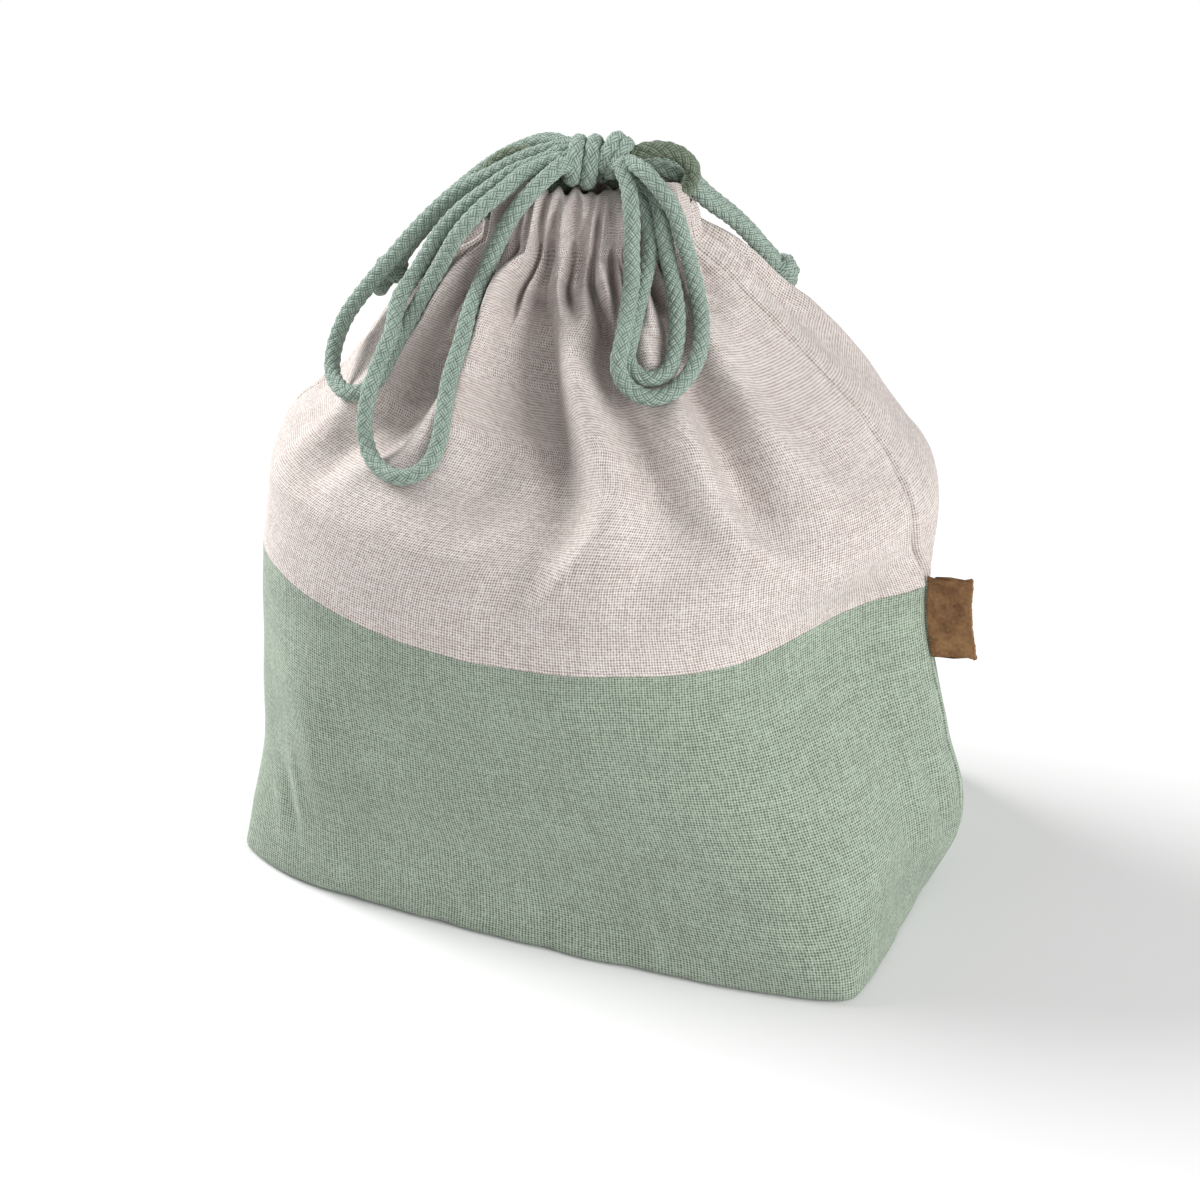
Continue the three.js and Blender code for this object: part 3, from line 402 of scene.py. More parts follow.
LEADS = {
    "left": (
        [[-30.9, -12, -7], [-32, -9, -3], [-29.8, -5, 1.6], [-26.6, -2.6, 4.3],
         [-21.6, -0.6, 5.3], [-15.6, 1, 4.6], [-10.4, 3.7, 4]],
        [[-14.3, 5.2, -10.8], [-17.9, 4.7, -10.8], [-21.1, 2.4, -10.8], [-22.3, -1.3, -10.6],
         [-21, -4.7, -10.2], [-17.8, -6.6, -9.4], [-14.1, -6.8, -7.6], [-11, -5.7, -4.6],
         [-8.7, -4.3, -1.6], [-7.6, -3.2, .8]]),
    "right": (
        [[26.1, 8.4, -2], [26.8, 7.8, 1.8], [25.9, 6.6, 5.6], [22.8, 5, 9.2],
         [18.1, 2.7, 10.9], [13.1, 0.6, 10.2], [8.7, -1.2, 7.6]],
        [[5.7, 11.7, -4.2], [8.9, 13.4, -4.2], [12.8, 13.4, -4.2], [16, 11.1, -4.2], [16.9, 7.6, -4.1],
         [15.5, 4.2, -3.9], [12.5, 1.9, -3.5], [9.4, .8, -2.2], [6.3, 0, 0], [4.2, -.6, 2.4]]),
}
ROUTE_STEP, EASING_STEP = .45, 1.5
EASING_ROUNDS = 600


def smooth_route(points, step=ROUTE_STEP):
    """Centripetal Catmull-Rom curve through the points, sampled at even steps of its length."""
    points = np.asarray(points, float)
    p = np.vstack([2 * points[0] - points[1], points, 2 * points[-1] - points[-2]])
    d = np.maximum(np.linalg.norm(np.diff(p, axis=0), axis=1) ** .5, 1e-4)
    d0, d1, d2 = d[:-2, None], d[1:-1, None], d[2:, None]
    a, b, c, e = p[:-3], p[1:-2], p[2:-1], p[3:]
    m1 = ((b - a) / d0 - (c - a) / (d0 + d1) + (c - b) / d1) * d1
    m2 = ((c - b) / d1 - (e - b) / (d1 + d2) + (e - c) / d2) * d1
    t = np.linspace(0, 1, 40, endpoint=False)[None, :, None]
    b, c, m1, m2 = (q[:, None] for q in (b, c, m1, m2))
    fine = (2 * t ** 3 - 3 * t ** 2 + 1) * b + (t ** 3 - 2 * t ** 2 + t) * m1 \
        + (3 * t ** 2 - 2 * t ** 3) * c + (t ** 3 - t ** 2) * m2
    fine = np.vstack([fine.reshape(-1, 3), points[-1]])
    far = np.concatenate([[0], np.cumsum(np.linalg.norm(np.diff(fine, axis=0), axis=1))])
    stops = np.linspace(0, far[-1], max(int(far[-1] / step), 4) + 1)
    return np.stack([np.interp(stops, far, fine[:, k]) for k in range(3)], -1)


def limp_route(points, tightest):
    """Route of a limp cord between its two ends: wherever it bends tighter than the given radius it
    is drawn towards the middle of its neighbours, again and again, until the bend has spread out."""
    route = smooth_route(points, EASING_STEP)
    for _ in range(EASING_ROUNDS):
        sag = (route[:-2] + route[2:]) / 2 - route[1:-1]
        reach = np.linalg.norm(route[2:] - route[:-2], axis=1) / 2
        bend = 2 * np.linalg.norm(sag, axis=1) / reach ** 2
        pull = np.clip(1 - 1 / np.maximum(bend * tightest, 1e-6), 0, 1) * .5
        route[1:-1] += sag * pull[:, None]
    return smooth_route(route)


BRAID_STRANDS = 5
BRAID_PITCH = 3.4
BRAID_HEIGHT = 0.5
CORD_SIDES = 40
CAP_ANGLES = np.radians([20, 42, 62, 80])


def braid_height(turn, along):
    """Surface of a round braid: two families of flat bundles wind opposite ways, each over one and
    under one of the other. The bundle on top is an arch across and dips where it goes under."""
    a = BRAID_STRANDS * turn + along / BRAID_PITCH
    b = BRAID_STRANDS * turn - along / BRAID_PITCH
    over = np.mod(np.floor(a) + np.floor(b), 2) < 1
    cross = np.where(over, np.mod(a, 1), np.mod(b, 1))
    other = np.where(over, np.mod(b, 1), np.mod(a, 1))
    return (1 - np.abs(2 * cross - 1) ** 3) * (.4 + .6 * (1 - np.abs(2 * other - 1) ** 2.5))


def braided_tube(route):
    """Cord along a route: rings of a circle in frames carried along without twist, raised by the
    braid, with the ends rounded over half a circle."""
    tangent = np.gradient(route, axis=0)
    tangent /= np.linalg.norm(tangent, axis=1, keepdims=True)
    side = np.zeros_like(route)
    side[0] = np.cross(tangent[0], [.3, .2, .9])
    side[0] /= np.linalg.norm(side[0])
    for k in range(1, len(route)):
        kept = side[k - 1] - tangent[k] * (side[k - 1] @ tangent[k])
        side[k] = kept / np.linalg.norm(kept)
    up = np.cross(tangent, side)
    along = np.concatenate([[0], np.cumsum(np.linalg.norm(np.diff(route, axis=0), axis=1))])
    turn = np.arange(CORD_SIDES) / CORD_SIDES
    radius = CORD / 2 - BRAID_HEIGHT * .6 + BRAID_HEIGHT * braid_height(turn[None], along[:, None])
    angle = 2 * np.pi * turn
    ring = np.cos(angle)[None, :, None] * side[:, None] + np.sin(angle)[None, :, None] * up[:, None]
    place = route[:, None] + radius[..., None] * ring
    caps, marks = [], []
    for k, way in ((0, -1), (-1, 1)):
        ahead = np.sin(CAP_ANGLES) * CORD / 2 * way
        caps.append(route[k] + ahead[:, None, None] * tangent[k]
                    + np.cos(CAP_ANGLES)[:, None, None] * (place[k] - route[k])[None])
        marks.append(along[k] + ahead)
    place = np.concatenate([caps[0][::-1], place, caps[1]])
    along = np.concatenate([marks[0][::-1], along, marks[1]])
    around = np.arange(CORD_SIDES + 1) / CORD_SIDES / MM
    uv = np.stack(np.broadcast_arrays(around[None], along[:, None]), -1)
    return grid_mesh(place, uv, around=True, caps=True)


class Wire:
    """One output of a node tree. Arithmetic on it adds Math nodes; node() adds any other node."""

    def __init__(self, tree, socket=None):
        self.tree, self.socket = tree, socket

    def node(self, kind, settings=(), inputs=(), output=0):
        made = self.tree.nodes.new(kind)
        for key, value in dict(settings).items():
            if key == "stops":
                ramp = made.color_ramp
                while len(ramp.elements) < len(value):
                    ramp.elements.new(1)
                for element, (spot, colour) in zip(ramp.elements, value):
                    element.position, element.color = spot, (*colour, 1)
            else:
                setattr(made, key, value)
        pairs = inputs.items() if isinstance(inputs, dict) else enumerate(inputs)
        for key, value in pairs:
            if isinstance(value, Wire):
                self.tree.links.new(value.socket, made.inputs[key])
            elif value is not None:
                made.inputs[key].default_value = value
        return Wire(self.tree, made.outputs[output])

    def math(self, operation, *values):
        return self.node("ShaderNodeMath", {"operation": operation}, values)

    def __add__(self, other): return self.math("ADD", self, other)
    def __sub__(self, other): return self.math("SUBTRACT", self, other)
    def __rsub__(self, other): return self.math("SUBTRACT", other, self)
    def __mul__(self, other): return self.math("MULTIPLY", self, other)
    def __truediv__(self, other): return self.math("DIVIDE", self, other)
    def __pow__(self, other): return self.math("POWER", self, other)
    def __mod__(self, other): return self.math("FLOORED_MODULO", self, other)
    def __lt__(self, other): return self.math("LESS_THAN", self, other)
    def __gt__(self, other): return self.math("GREATER_THAN", self, other)
    def __abs__(self): return self.math("ABSOLUTE", self)

    def floor(self): return self.math("FLOOR", self)
    def cos(self): return self.math("COSINE", self)
    def blend(self, other, share): return self + (other - self) * share

    def vector(self, x, y, z=0.0):
        return self.node("ShaderNodeCombineXYZ", (), [x, y, z])

    def noise(self, place, scale, detail, rough=.5):
        inputs = {"Vector": place, "Scale": scale, "Detail": detail, "Roughness": rough}
        return self.node("ShaderNodeTexNoise", (), inputs)

    def mix(self, share, first, second):
        return self.node("ShaderNodeMix", {"data_type": "RGBA"}, {0: share, 6: first, 7: second}, 2)


def new_material(name, rough, sheen):
    """A Principled surface with its constant settings, and the wire and shader to build on."""
    material = bpy.data.materials.new(name)
    material.use_nodes = True
    tree = material.node_tree
    shader = tree.nodes["Principled BSDF"]
    shader.inputs["Roughness"].default_value = rough
    shader.inputs["Specular IOR Level"].default_value = .25
    shader.inputs["Sheen Weight"].default_value = sheen
    shader.inputs["Sheen Roughness"].default_value = .5
    return material, Wire(tree), shader


def set_surface(wire, shader, colour, height, distance, strength):
    """Base colour, and a bump of the given depth in metres into the normal."""
    wire.tree.links.new(colour.socket, shader.inputs["Base Color"])
    inputs = {"Strength": strength, "Distance": distance, "Height": height}
    bump = wire.node("ShaderNodeBump", (), inputs)
    wire.tree.links.new(bump.socket, shader.inputs["Normal"])


THREAD = .00082


def own_map(wire):
    """The two coordinates of a piece's own map."""
    spot = wire.node("ShaderNodeUVMap", {"uv_map": "cloth"})
    return (wire.node("ShaderNodeSeparateXYZ", (), [spot], k) for k in (0, 1))


def woven_cloth(name, light, dark):
    """Plain weave of slubby yarn on the cloth's own map, in metres: threads are cosine arches, the
    one on top changes at every crossing and each thread has its own tone along its length. Painted
    shade darkens the gaps between crossing threads, each as much as chance has it, and the grooves between
    threads."""
    material, wire, shader = new_material(name, rough=.9, sheen=.12)
    u, v = own_map(wire)
    drift = wire.noise(wire.vector(u * 60, v * 60), 1.0, 1.0) - .5
    a = u / THREAD + drift * 1.6
    b = v / THREAD + drift * 1.2
    wave_a, wave_b = (a * math.pi).cos(), (b * math.pi).cos()
    arch_a, arch_b = abs(wave_a), abs(wave_b)
    top = (wave_a * wave_b) > 0
    tone_a = wire.noise(wire.vector((a + .5).floor() * 1.7, b * .045, 3.0), 1.0, 3.0, .65)
    tone_b = wire.noise(wire.vector(a * .045, (b + .5).floor() * 1.7, 9.0), 1.0, 3.0, .65)
    tone = tone_b.blend(tone_a, top)
    crossing = wire.vector(a.floor(), b.floor())
    chance = wire.node("ShaderNodeTexWhiteNoise", {"noise_dimensions": "2D"}, [crossing])
    # painted shade: darker in the gaps between crossing threads and in the grooves beside each thread
    gap_shade = (1 - arch_a) * (1 - arch_b) * (chance * chance * 3.2 + .5)
    groove_shade = (1 - arch_a) * .32 + (1 - arch_b) * .16
    cloud = wire.noise(wire.vector(u * 30, v * 30, 5.0), 1.0, 4.0, .6) - .5
    level = tone + .41 + cloud * .25 - gap_shade * 1.5 - groove_shade
    colour = wire.mix(level, dark, light)
    height = arch_a * arch_b * .7 + (tone - .5) * .8
    set_surface(wire, shader, colour, height, distance=.00022, strength=.55)
    return material


def braided_cord(name, light, dark):
    """Braid on the cord's own map (turn, metres along): the bundle on top as in the shape, three
    yarns along each bundle, each with a painted highlight on its crown and painted shade between yarns,
    painted shade in the slits where bundles dip under, and slow changes of tone."""
    material, wire, shader = new_material(name, rough=.85, sheen=.15)
    turn, along = own_map(wire)
    turn, along = turn * BRAID_STRANDS, along / (BRAID_PITCH * MM)
    a, b = turn + along, turn - along
    over = ((a.floor() + b.floor()) % 2.0) < 1.0
    cross = (b % 1.0).blend(a % 1.0, over)
    other = (a % 1.0).blend(b % 1.0, over)
    sides = 1 - abs(cross * 2 - 1) ** 6.0
    ends = 1 - abs(other * 2 - 1) ** 4.0
    yarn = abs(((cross - 1 / 6) * (3 * math.pi)).cos())
    index = b.floor().blend(a.floor(), over)
    tone = wire.noise(wire.vector(index * 3.1, other * .5 + index, 2.0), 1.0, 2.0, .6)
    # painted light: yarn crowns lighter, painted shade between yarns and where a bundle dips under
    level = yarn * .75 + ends * .3 + (tone - .5) * .5 - .05
    colour = wire.mix(level, dark, light)
    height = yarn * .6 + ends * .3 + sides * .1
    set_surface(wire, shader, colour, height, distance=.0004, strength=.8)
    return material


def cork_sheet(name):
    """Cork: warm mottled brown in clouds and grains, with dark flecks and pale specks."""
    material, wire, shader = new_material(name, rough=.8, sheen=.0)
    spot = wire.node("ShaderNodeTexCoord", (), (), 3)
    cloud = wire.noise(spot, 180.0, 5.0, .6)
    grain = wire.noise(spot, 900.0, 4.0, .7)
    stops = [(.3, (.075, .032, .012)), (.48, (.21, .11, .05)), (.62, (.30, .17, .075)), (.8, (.46, .29, .14))]
    colour = wire.node("ShaderNodeValToRGB", {"stops": stops}, [cloud * .6 + grain * .4])
    set_surface(wire, shader, colour, grain + cloud, distance=.0003, strength=.5)
    return material


GREEN = woven_cloth("green_cloth", light=(.415, .495, .40, 1), dark=(.10, .125, .092, 1))
BEIGE = woven_cloth("beige_cloth", light=(.78, .73, .70, 1), dark=(.29, .22, .195, 1))
CORD_GREEN = braided_cord("green_cord", light=(.36, .45, .385, 1), dark=(.05, .09, .07, 1))
# Drawcords: a darker, more olive copy of the green cord, painted shade for the leads lying in the shaded
# mouth and behind the bow.
CORD_SHADED_OLIVE = braided_cord("shaded_olive_cord", light=(.19, .235, .165, 1), dark=(.035, .055, .035, 1))
CORK = cork_sheet("cork")

# The drawcords' lanes in the channels: their heights, their depth in from the cloth, and how far
# short of its own side seam each run starts and stops.
LANES = {"left": 204.2, "right": 210.8}
LANE_DEPTH = 5.1
SHORT_OF_SEAM = {"front": 8.5, "back": 26.0}
# Tightest bends: of a free cord, of the narrow inner loop and of the drawcords inside the neck.
FREE_BEND, INNER_LOOP_BEND, NECK_BEND = 9.6, 6.4, 6.0


def from_rim(points):
    return np.asarray(points, float) + RIM_MIDDLE


def channel_run(side, z):
    """The run of a cord in both channels, a fixed depth in from the cloth: in along the front from
    one side, round the far seam and back along the back."""
    heights = np.array([z])
    reach = {half: short / wall(heights, np.zeros((1, 1)), half)[2][0]
             for half, short in SHORT_OF_SEAM.items()}
    t = np.linspace(0, 1, 24)
    front, back = reach["front"] + (1 - reach["front"]) * t, (1 - reach["back"]) * t
    if side == "right":
        front, back = 1 - front, 1 - back
    runs = []
    for half, share in (("front", front), ("back", back)):
        place, inward, _ = wall(heights, share[None], half)
        runs.append((place + inward * LANE_DEPTH)[0])
    return np.vstack([runs[0], runs[1][1:]])


routes = {name: limp_route(from_rim(points), INNER_LOOP_BEND if name == "right_loop_inner" else FREE_BEND)
          for name, points in {**LOOPS, **TAILS}.items()}
for side, z in LANES.items():
    upper, lower = LEADS[side]
    run = channel_run(side, z)
    whole = np.vstack([from_rim(upper)[::-1], run, from_rim(lower)])
    routes[f"{side}_drawcord"] = limp_route(whole, NECK_BEND)

BODY_OF = {
    "left_loop_front": "left_bow", "left_loop_rear": "left_bow",
    "right_loop_outer": "right_outer_loop", "right_loop_inner": "right_inner_loop",
    "left_tail_front": "left_bow", "left_tail_rear": "left_bow",
    "right_tail_front": "right_tails", "right_tail_rear": "right_tails",
}
for name, body in BODY_OF.items():
    parts = [braided_tube(routes[name])]
    make_object(f"{name}_cord", parts, CORD_GREEN, body, [name])
# the drawcords take the darker copy of the cord's colour: painted shade
for side in LANES:
    name = f"{side}_drawcord"
    parts = [braided_tube(routes[name])]
    stood_for = [f"{side}_lead_upper", f"{side}_cord_run", f"{side}_lead_lower"]
    make_object(name, parts, CORD_SHADED_OLIVE, "bag", stood_for)


def wound(middle, axis, radius, first, last, turns, tilt=0.0, tuck=1.6):
    """A cord wound round an axis: a circle carried along it, its two ends drawn in to the middle."""
    t = np.linspace(0, 1, int(40 * turns))
    side = np.cross(axis, UPWARD)
    side /= np.linalg.norm(side)
    rise = np.cross(side, axis)
    angle = 2 * np.pi * turns * t - np.pi / 2
    drawn = radius - tuck * (np.exp(-(t * turns * 7) ** 2) + np.exp(-((1 - t) * turns * 7) ** 2))
    lean = math.tan(tilt) * drawn * np.sin(angle)
    return middle + np.outer(first + (last - first) * t + lean, axis) \
        + np.outer(drawn * np.cos(angle), side) + np.outer(drawn * np.sin(angle), rise)


def stub(end, inner):
    """Short cord from a loop's end into the knot's middle."""
    return smooth_route(np.array([end, end * .6 + inner * .4, inner]))


SLANT = .93 * ACROSS - .2 * BACKWARD - .31 * UPWARD
knot_routes = [
    wound(KNOT_MIDDLE - UPWARD * 1.9, ACROSS, radius=5.6, first=-6.0, last=3.0, turns=2.0),
    wound(KNOT_MIDDLE + ACROSS * 5.6 + UPWARD * .5, SLANT, radius=4.6, first=-1.6, last=3.4, turns=1.7),
]
for name in LOOPS:
    for end in (routes[name][0], routes[name][-1]):
        away = end - KNOT_MIDDLE
        sideways = away @ ACROSS
        inner = KNOT_MIDDLE + ACROSS * np.clip(sideways, -3, 7) * .5 + (away - ACROSS * sideways) * .25
        knot_routes.append(stub(end, inner))
for name in TAILS:
    end = routes[name][0]
    knot_routes.append(stub(end, KNOT_MIDDLE + (end - KNOT_MIDDLE) * .3))
parts = [braided_tube(smooth_route(r)) for r in knot_routes]
make_object("bow_knot_cords", parts, CORD_GREEN, "bag", ["bow_knot"])


def overhand(side):
    """End knot of a side's two tails: they run on through it to two cut ends, and one cord turns
    round them about one and a half times."""
    front, rear = routes[f"{side}_tail_front"], routes[f"{side}_tail_rear"]
    name, body = f"{side}_end_knot", BODY_OF[f"{side}_tail_front"]
    ahead = (front[-1] - front[-14]) + (rear[-1] - rear[-14])
    ahead /= np.linalg.norm(ahead)
    between = (front[-1] + rear[-1]) / 2
    centre = between + ahead * 5.4
    ends = []
    for k, entry in enumerate((front[-1], rear[-1])):
        aside = entry - between
        cut_end = centre + ahead * (5.2 + k) + aside * .5
        ends.append(smooth_route(np.array([entry, centre + aside * .35, cut_end])))
    turn = wound(centre, ahead, radius=2.9, first=-2.2, last=2.2, turns=1.6, tilt=math.radians(14), tuck=1.2)
    parts = [braided_tube(smooth_route(r)) for r in [*ends, turn]]
    return make_object(f"{name}_cords", parts, CORD_GREEN, body, [name])


end_knots = {side: overhand(side) for side in LANES}


# Cords that lie on the cloth, the room they take up, and how they press it and spread the dents.
cord_points = np.vstack([routes[n][::3] for n in [*LOOPS, *TAILS]]).astype(np.float32)
CORD_ROOM = CORD / 2 + .25
PRESS_ROUNDS, PRESS_MOST = 3, 5
SKIRT_ROUNDS, SKIRT_KEPT = 40, .98


def pressed_by_cords(place, normal):
    """Cloth pushed in along its normal wherever a cord lies closer to it than the cord's half width,
    with the edge of the dent spread softly over the neighbouring points."""
    flat, n = place.reshape(-1, 3).astype(np.float32), normal.reshape(-1, 3).astype(np.float32)
    low, high = cord_points.min(0) - 4, cord_points.max(0) + 4
    near = np.nonzero(((flat > low) & (flat < high)).all(1))[0]
    reach = (cord_points ** 2).sum(1)
    for _ in range(PRESS_ROUNDS):
        for chunk in np.array_split(near, max(len(near) // 4000, 1)):
            p = flat[chunk]
            k = (reach - 2 * p @ cord_points.T).argmin(1)
            to = cord_points[k] - p
            out = (to * n[chunk]).sum(1)
            level = np.sqrt(np.maximum((to ** 2).sum(1) - out ** 2, 0))
            need = np.sqrt(np.maximum(CORD_ROOM ** 2 - level ** 2, 0)) - out
            flat[chunk] -= n[chunk] * np.where(level < CORD_ROOM, np.clip(need, 0, PRESS_MOST), 0)[:, None]
    press = ((place.reshape(-1, 3) - flat) * n).sum(1).reshape(place.shape[:-1])
    skirt = press
    for _ in range(SKIRT_ROUNDS):
        edge = np.pad(skirt, 1, mode="edge")
        around = (edge[:-2, 1:-1] + edge[2:, 1:-1] + edge[1:-1, :-2] + edge[1:-1, 2:]) / 4
        skirt = np.maximum(press, around * SKIRT_KEPT)
    return place - normal * skirt[..., None]


def seam_rise(share, half):
    """How much higher than level the colour change lies, across the front; even along the back."""
    if half == "back":
        return 0 * share + SEAM_WAVE[0, 1]
    return np.interp(share, SEAM_WAVE[:, 0], SEAM_WAVE[:, 1])


# Hem: where the cloth starts to turn over the rim and the radius of that turn, the heights and the
# depths in from the wall on the way down to the channel's stitching, and the frill's size and count.
RIM_FOLD, RIM_ROUND = 210, 5
HEM_HEIGHTS = np.array([208, 205, 202, 200.4, 199.2, 198.6])
HEM_DEPTHS = np.array([10.1, 10.2, 10.0, 9.0, 7.0, 4.6])
FRILL, FRILL_COUNT = 2.3, 16
# Small gathers on the channel, by size and count, and the rim's wave up and down.
CRIMP, CRIMP_COUNT = 1.4, 18
RIM_WAVE, RIM_WAVE_COUNT = .8, 9
# By height: how much the folds are deepened, and how far in from the wall the cloth may go.
FOLD_GAIN = ([99, 118, 140, 160, 188, 200, 215], [1, 1.2, 1.6, 1.9, 1.7, 1.1, 1])
DEEPEST = ([190, 196, 203], [-14, -8, -1.7])
UPPER_ROWS, UPPER_COLUMNS = 150, 330
LOWER_ROWS, LOWER_COLUMNS = 80, 180


def upper_panel(half, folds, pleats):
    """Upper cloth, front or back: the wall from the colour change to the rim with its folds, then
    over the rim and down the inside as the frilled hem that makes the channel."""
    grow = np.linspace(0, 1, UPPER_ROWS)
    rise = COLOUR_SEAM + (RIM_FOLD + .5 - COLOUR_SEAM) * (grow * 1.25 - grow ** 2 * .25)
    over = np.radians(np.linspace(12, 168, 10))
    top_z, top_in = RIM_FOLD + RIM_ROUND * np.sin(over), RIM_ROUND - RIM_ROUND * np.cos(over)
    down, down_in = HEM_HEIGHTS, HEM_DEPTHS
    z = np.concatenate([[COLOUR_SEAM - 2, COLOUR_SEAM - .6], rise, top_z, down])
    inset = np.concatenate([[.7, .35], 0 * rise, top_in, down_in])
    outer = np.concatenate([np.ones(2 + len(rise)), np.cos(over) * .5 + .5, 0 * down])
    frill = FRILL * (1 - outer) * np.concatenate([np.ones(len(z) - 3), [.8, .5, .2]])
    _, _, length = wall(z, np.zeros((len(z), 1)), half)
    feet = CHANNEL_FEET if half == "front" else CHANNEL_FEET[::-1]
    first, last = ((CHANNEL_MARGIN * t * t * (3 - 2 * t) / length)[:, None]
                   for t in (np.clip((z - foot) / 4, 0, 1) for foot in feet))
    step = np.linspace(0, 1, UPPER_COLUMNS)[None]
    share = first + (1 - first - last) * step
    place, inward, _ = wall(z, share, half)
    normal = outward_normals(place, inward)
    low = np.clip((155 - z) / 56, 0, 1)[:, None] ** 2
    place = place + (wall(z + 1, share, half)[0] - place) * (seam_rise(share, half) * low)[..., None]
    seam_in = np.minimum(share, 1 - share) * length[:, None]
    gain = np.interp(z, *FOLD_GAIN)[:, None]
    tucks = fold_field(pleats, share, z, length)
    pinch = CRIMP * np.clip((z - 188) / 16, 0, 1)[:, None] * np.clip((.93 - share) / .1, .15, 1)
    crimp = pinch * np.sin(2 * np.pi * share * CRIMP_COUNT + 1.3 * np.sin(share * 23))
    waves = soft_waves(place, .35, 7) * np.clip((z - COLOUR_SEAM) / 12, 0, 1)[:, None]
    quiet = np.clip(seam_in / 9, 0, 1)
    lift = (fold_field(folds, share, z, length) * gain + tucks) * quiet + crimp + waves
    lift = (lift + seam_pull(seam_in, z, 3 if half == "front" else 5)) * outer[:, None]
    deepest = np.interp(z, *DEEPEST)[:, None]
    lift = np.maximum(lift, deepest) - frill[:, None] * np.cos(2 * np.pi * share * FRILL_COUNT)
    place = place + inward * inset[:, None, None] + normal * lift[..., None]
    rim_wave = RIM_WAVE * np.sin(2 * np.pi * share * RIM_WAVE_COUNT + 2 * np.sin(share * 17))
    place[..., 2] += np.clip((z - 205) / 8, 0, 1)[:, None] * rim_wave
    place = pressed_by_cords(place, normal)
    return place, share, tucks


def cloth_map(place, share, tucks):
    """Cloth map in millimetres: up, the mean length from the colour change; across, the length along
    the row, with what the row lacks of the cut's width taken up in the bottoms of the pleats."""
    up = np.linalg.norm(np.diff(place, axis=0), axis=-1).mean(1)
    rows = np.concatenate([[0], np.cumsum(up)]) + COLOUR_SEAM
    across = np.cumsum(np.linalg.norm(np.diff(place, axis=1), axis=-1), axis=1)
    hidden = np.cumsum(np.maximum(-tucks[:, 1:], 0) ** 3 + .3, axis=1)
    across = across + (FLAT_WIDTH - across[:, -1:]) * hidden / hidden[:, -1:]
    return np.stack([np.pad(across, ((0, 0), (1, 0))), np.broadcast_to(rows[:, None], share.shape)], -1)


for half, folds, pleats in (("front", FRONT_FOLDS, FRONT_CREVICES), ("back", *back_folds())):
    place, share, tucks = upper_panel(half, folds, pleats)
    parts = [grid_mesh(place, cloth_map(place, share, tucks))]
    name = f"upper_{half}_panel"
    make_object(f"{name}_cloth", parts, BEIGE, "bag", [name])


def base_spread(foot):
    """How far the base's edge lies out from the wall's foot, along the line from the middle: nothing
    beyond the two ends of the given edge, and drawn down to that over a short way."""
    turn, reach = np.arctan2(foot[:, 1], foot[:, 0]), np.hypot(foot[:, 0], foot[:, 1])
    edge_turn = np.arctan2(BASE_EDGE[:, 1], BASE_EDGE[:, 0])
    edge_reach = np.hypot(BASE_EDGE[:, 0], BASE_EDGE[:, 1])
    more = np.interp(turn, edge_turn, edge_reach) - reach
    near = np.clip((turn - edge_turn[0] + .12) / .12, 0, 1) * np.clip((edge_turn[-1] + .1 - turn) / .1, 0, 1)
    return foot * (more * near / reach)[:, None]


def lower_panel():
    """Lower cloth: the flat base from its middle out, the fold round its edge, and the walls up to
    the colour change, closed round the bag through both side seams."""
    walls = np.concatenate([[.5, 1.4, 3], np.linspace(4.5, COLOUR_SEAM, LOWER_ROWS)])
    step = np.linspace(0, 1, LOWER_COLUMNS, endpoint=False)
    share = np.broadcast_to(step[None], (len(walls), LOWER_COLUMNS))
    sides = []
    for half in ("front", "back"):
        place, inward, length = wall(walls, share, half)
        normal = outward_normals(place, inward)
        seam_in = np.minimum(share, 1 - share) * length[:, None]
        hold = np.clip(walls / 14, 0, 1)[:, None]
        up = wall(walls + 1, share, half)[0] - place
        place = place + up * (seam_rise(share, half) * (walls[:, None] / COLOUR_SEAM) ** 2)[..., None]
        if half == "front":
            fade = np.clip(1 - walls / BASE_REACH, 0, 1) ** 1.5
            place[..., :2] += base_spread(place[0, :, :2]) * fade[:, None, None]
        lift = soft_waves(place, .5, 11) * hold * np.clip((COLOUR_SEAM - walls) / 8, 0, 1)[:, None]
        lift = lift + seam_pull(seam_in, walls, 8) * hold
        if half == "front":
            lift = lift + fold_field(GREEN_FOLDS, share, walls, length)
        inset = 1.2 * np.clip(1 - walls / 2.5, 0, 1) ** 1.6
        sides.append(place + inward * inset[:, None, None] + normal * lift[..., None])
    ring = np.concatenate(sides, axis=1)
    foot = ring[0].copy()
    foot[:, 2] = 0
    shrink = np.linspace(.02, .985, 14)[:, None, None]
    middle = foot.mean(0)
    base = middle + (foot - middle)[None] * shrink
    base[..., 2] = 0
    place = np.concatenate([base, ring])
    around = np.concatenate([step * FLAT_WIDTH, FLAT_WIDTH + step * FLAT_WIDTH, [2 * FLAT_WIDTH]])
    up = np.linalg.norm(np.diff(place, axis=0), axis=-1).mean(1)
    rows = np.concatenate([[0], np.cumsum(up)])
    rows += COLOUR_SEAM - rows[-1]
    uv = np.stack(np.broadcast_arrays(around[None], rows[:, None]), -1)
    points, quads, corner, _ = grid_mesh(place, uv, around=True)
    return points, quads, corner, [np.arange(2 * LOWER_COLUMNS)[::-1]]


make_object("lower_panel_cloth", [lower_panel()], GREEN, "bag",
                                    ["lower_panel"])


TAG_FOOT, TAG_HEIGHT, TAG_REACH = 79.4, 25.6, 13.6
TAG_ROOT, TAG_HALF_THICKNESS = .4, .8
TAG_SQUARENESS = 9
TAG_ROWS = 49


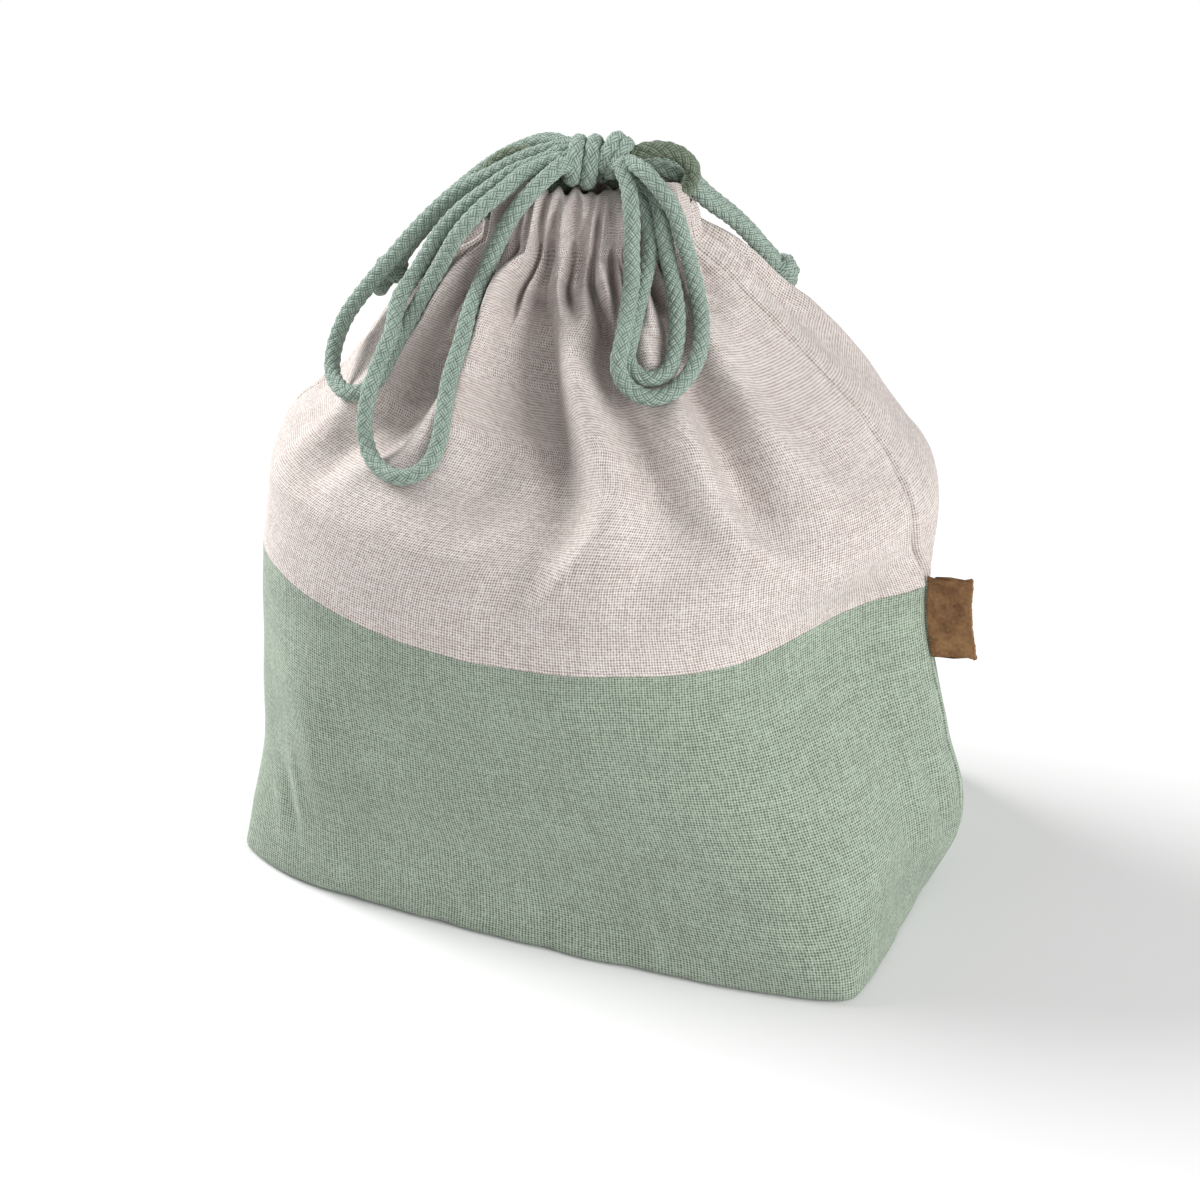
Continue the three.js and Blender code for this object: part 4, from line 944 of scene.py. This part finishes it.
def side_tag():
    """Cork tag: a rounded-rectangle outline across, carried up the seam, its edges a little ragged.
    Returned with the middle of its root and the direction in which it stands out."""
    t = np.linspace(0, 1, TAG_ROWS)
    seam = wall(TAG_FOOT + TAG_HEIGHT * t, np.ones((TAG_ROWS, 1)), "front")[0][:, 0]
    up = (seam[-1] - seam[0]) / np.linalg.norm(seam[-1] - seam[0])
    out = np.array([1.0, 0, 0]) - up * up[0]
    out /= np.linalg.norm(out)
    face = np.cross(up, out)
    rng = np.random.default_rng(2)
    reach = TAG_REACH + .18 * np.cumsum(rng.normal(size=TAG_ROWS)) / 3
    corners = np.radians(np.arange(0, 360, 7.5))
    power = 2 / TAG_SQUARENESS
    x = np.sign(np.cos(corners)) * np.abs(np.cos(corners)) ** power
    y = np.sign(np.sin(corners)) * np.abs(np.sin(corners)) ** power
    ragged = 1 + .012 * rng.normal(size=(TAG_ROWS, 1))
    across = TAG_ROOT + reach[:, None] * (x[None] * ragged * .5 + .5)
    thick = TAG_HALF_THICKNESS * y[None] * (1 + .05 * rng.normal(size=(TAG_ROWS, len(corners))))
    ends = .25 * np.sin(across * 1.9 + 1) + .12 * np.sin(across * 5.3)
    height = ends * (2 * t[:, None] - 1)
    place = seam[:, None] + height[..., None] * up + across[..., None] * out + thick[..., None] * face
    uv = np.zeros((TAG_ROWS, len(corners) + 1, 2))
    return grid_mesh(place, uv, around=True, caps=True), seam[TAG_ROWS // 2], out


leaf, root, outward = side_tag()
tag = make_object("side_tag_leaf", [leaf], CORK, None, ["side_tag"])
root * MM
(root + outward * 5) * MM
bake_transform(tag)


def seen_directly(wire):
    """One where a ray comes from the camera, a mirror-like surface or a clear one, else nothing."""
    rays = wire.tree.nodes.new("ShaderNodeLightPath").outputs
    camera, glossy, clear = (Wire(wire.tree, rays[name])
                             for name in ("Is Camera Ray", "Is Glossy Ray", "Is Transmission Ray"))
    total = camera + glossy + clear
    return total.math("MINIMUM", total, 1.0)


def stage_floor():
    """A wide plane under the bag that takes its soft shadow and turns white farther off."""
    mesh = bpy.data.meshes.new("floor")
    far, shadow_to, white_from, drop = 6.0, .22, .5, .0004
    mesh.from_pydata([(-far, -far, 0), (far, -far, 0), (far, far, 0), (-far, far, 0)], [], [(0, 1, 2, 3)])
    material = bpy.data.materials.new("floor")
    material.use_nodes = True
    tree = material.node_tree
    tree.nodes.remove(tree.nodes["Principled BSDF"])
    wire = Wire(tree)
    seen = seen_directly(wire)
    spot = wire.node("ShaderNodeTexCoord", (), (), 3)
    away = wire.node("ShaderNodeVectorMath", {"operation": "LENGTH"}, [spot], 1)
    far_off = wire.node("ShaderNodeMapRange", {"interpolation_type": "SMOOTHSTEP"},
                        [away, shadow_to, white_from, 0.0, 1.0])
    diffuse = wire.node("ShaderNodeBsdfDiffuse", (), [(.8, .8, .8, 1)])
    white = wire.node("ShaderNodeEmission", (), [(1, 1, 1, 1), 1.0])
    both = wire.node("ShaderNodeMixShader", (), [seen * far_off, diffuse, white])
    tree.links.new(both.socket, tree.nodes["Material Output"].inputs["Surface"])
    mesh.materials.append(material)
    floor = bpy.data.objects.new("floor", mesh)
    bpy.context.scene.collection.objects.link(floor)
    floor.location.z = -drop


def area_light(name, place, aim, size, power):
    data = bpy.data.lights.new(name, "AREA")
    data.shape, data.size, data.energy = "DISK", size, power
    lamp = bpy.data.objects.new(name, data)
    lamp.location = place
    lamp.rotation_euler = (Vector(aim) - Vector(place)).to_track_quat("-Z", "Y").to_euler()
    bpy.context.scene.collection.objects.link(lamp)


def light_world(strength):
    """White surroundings: full to the eye, and of the given strength as light."""
    world = bpy.data.worlds.new("studio")
    bpy.context.scene.world = world
    world.use_nodes = True
    tree = world.node_tree
    wire = Wire(tree)
    seen = seen_directly(wire)
    tree.nodes["Background"].inputs["Color"].default_value = (1, 1, 1, 1)
    level = seen + (1 - seen) * strength
    tree.links.new(level.socket, tree.nodes["Background"].inputs["Strength"])


def photo_camera():
    """Camera 19 degrees round to the right of the front and 31.5 degrees up."""
    azimuth, elevation, distance = math.radians(19), math.radians(31.5), .920
    aim = Vector((.0069, -.0368, .103))
    back = Vector((math.sin(azimuth) * math.cos(elevation), -math.cos(azimuth) * math.cos(elevation),
                   math.sin(elevation)))
    data = bpy.data.cameras.new("camera")
    data.sensor_width, data.lens = 36, 95.1
    camera = bpy.data.objects.new("camera", data)
    camera.location = aim + back * distance
    camera.rotation_euler = (-back).to_track_quat("-Z", "Y").to_euler()
    bpy.context.scene.collection.objects.link(camera)
    bpy.context.scene.camera = camera


stage_floor()
area_light("key", place=(-1.3, .16, 1.02), aim=(0, 0, .1), size=.9, power=35)
area_light("fill", place=(1.33, -.45, .77), aim=(0, 0, .1), size=1.6, power=25)
light_world(strength=.37)
photo_camera()
bpy.context.scene.view_settings.view_transform = "Standard"
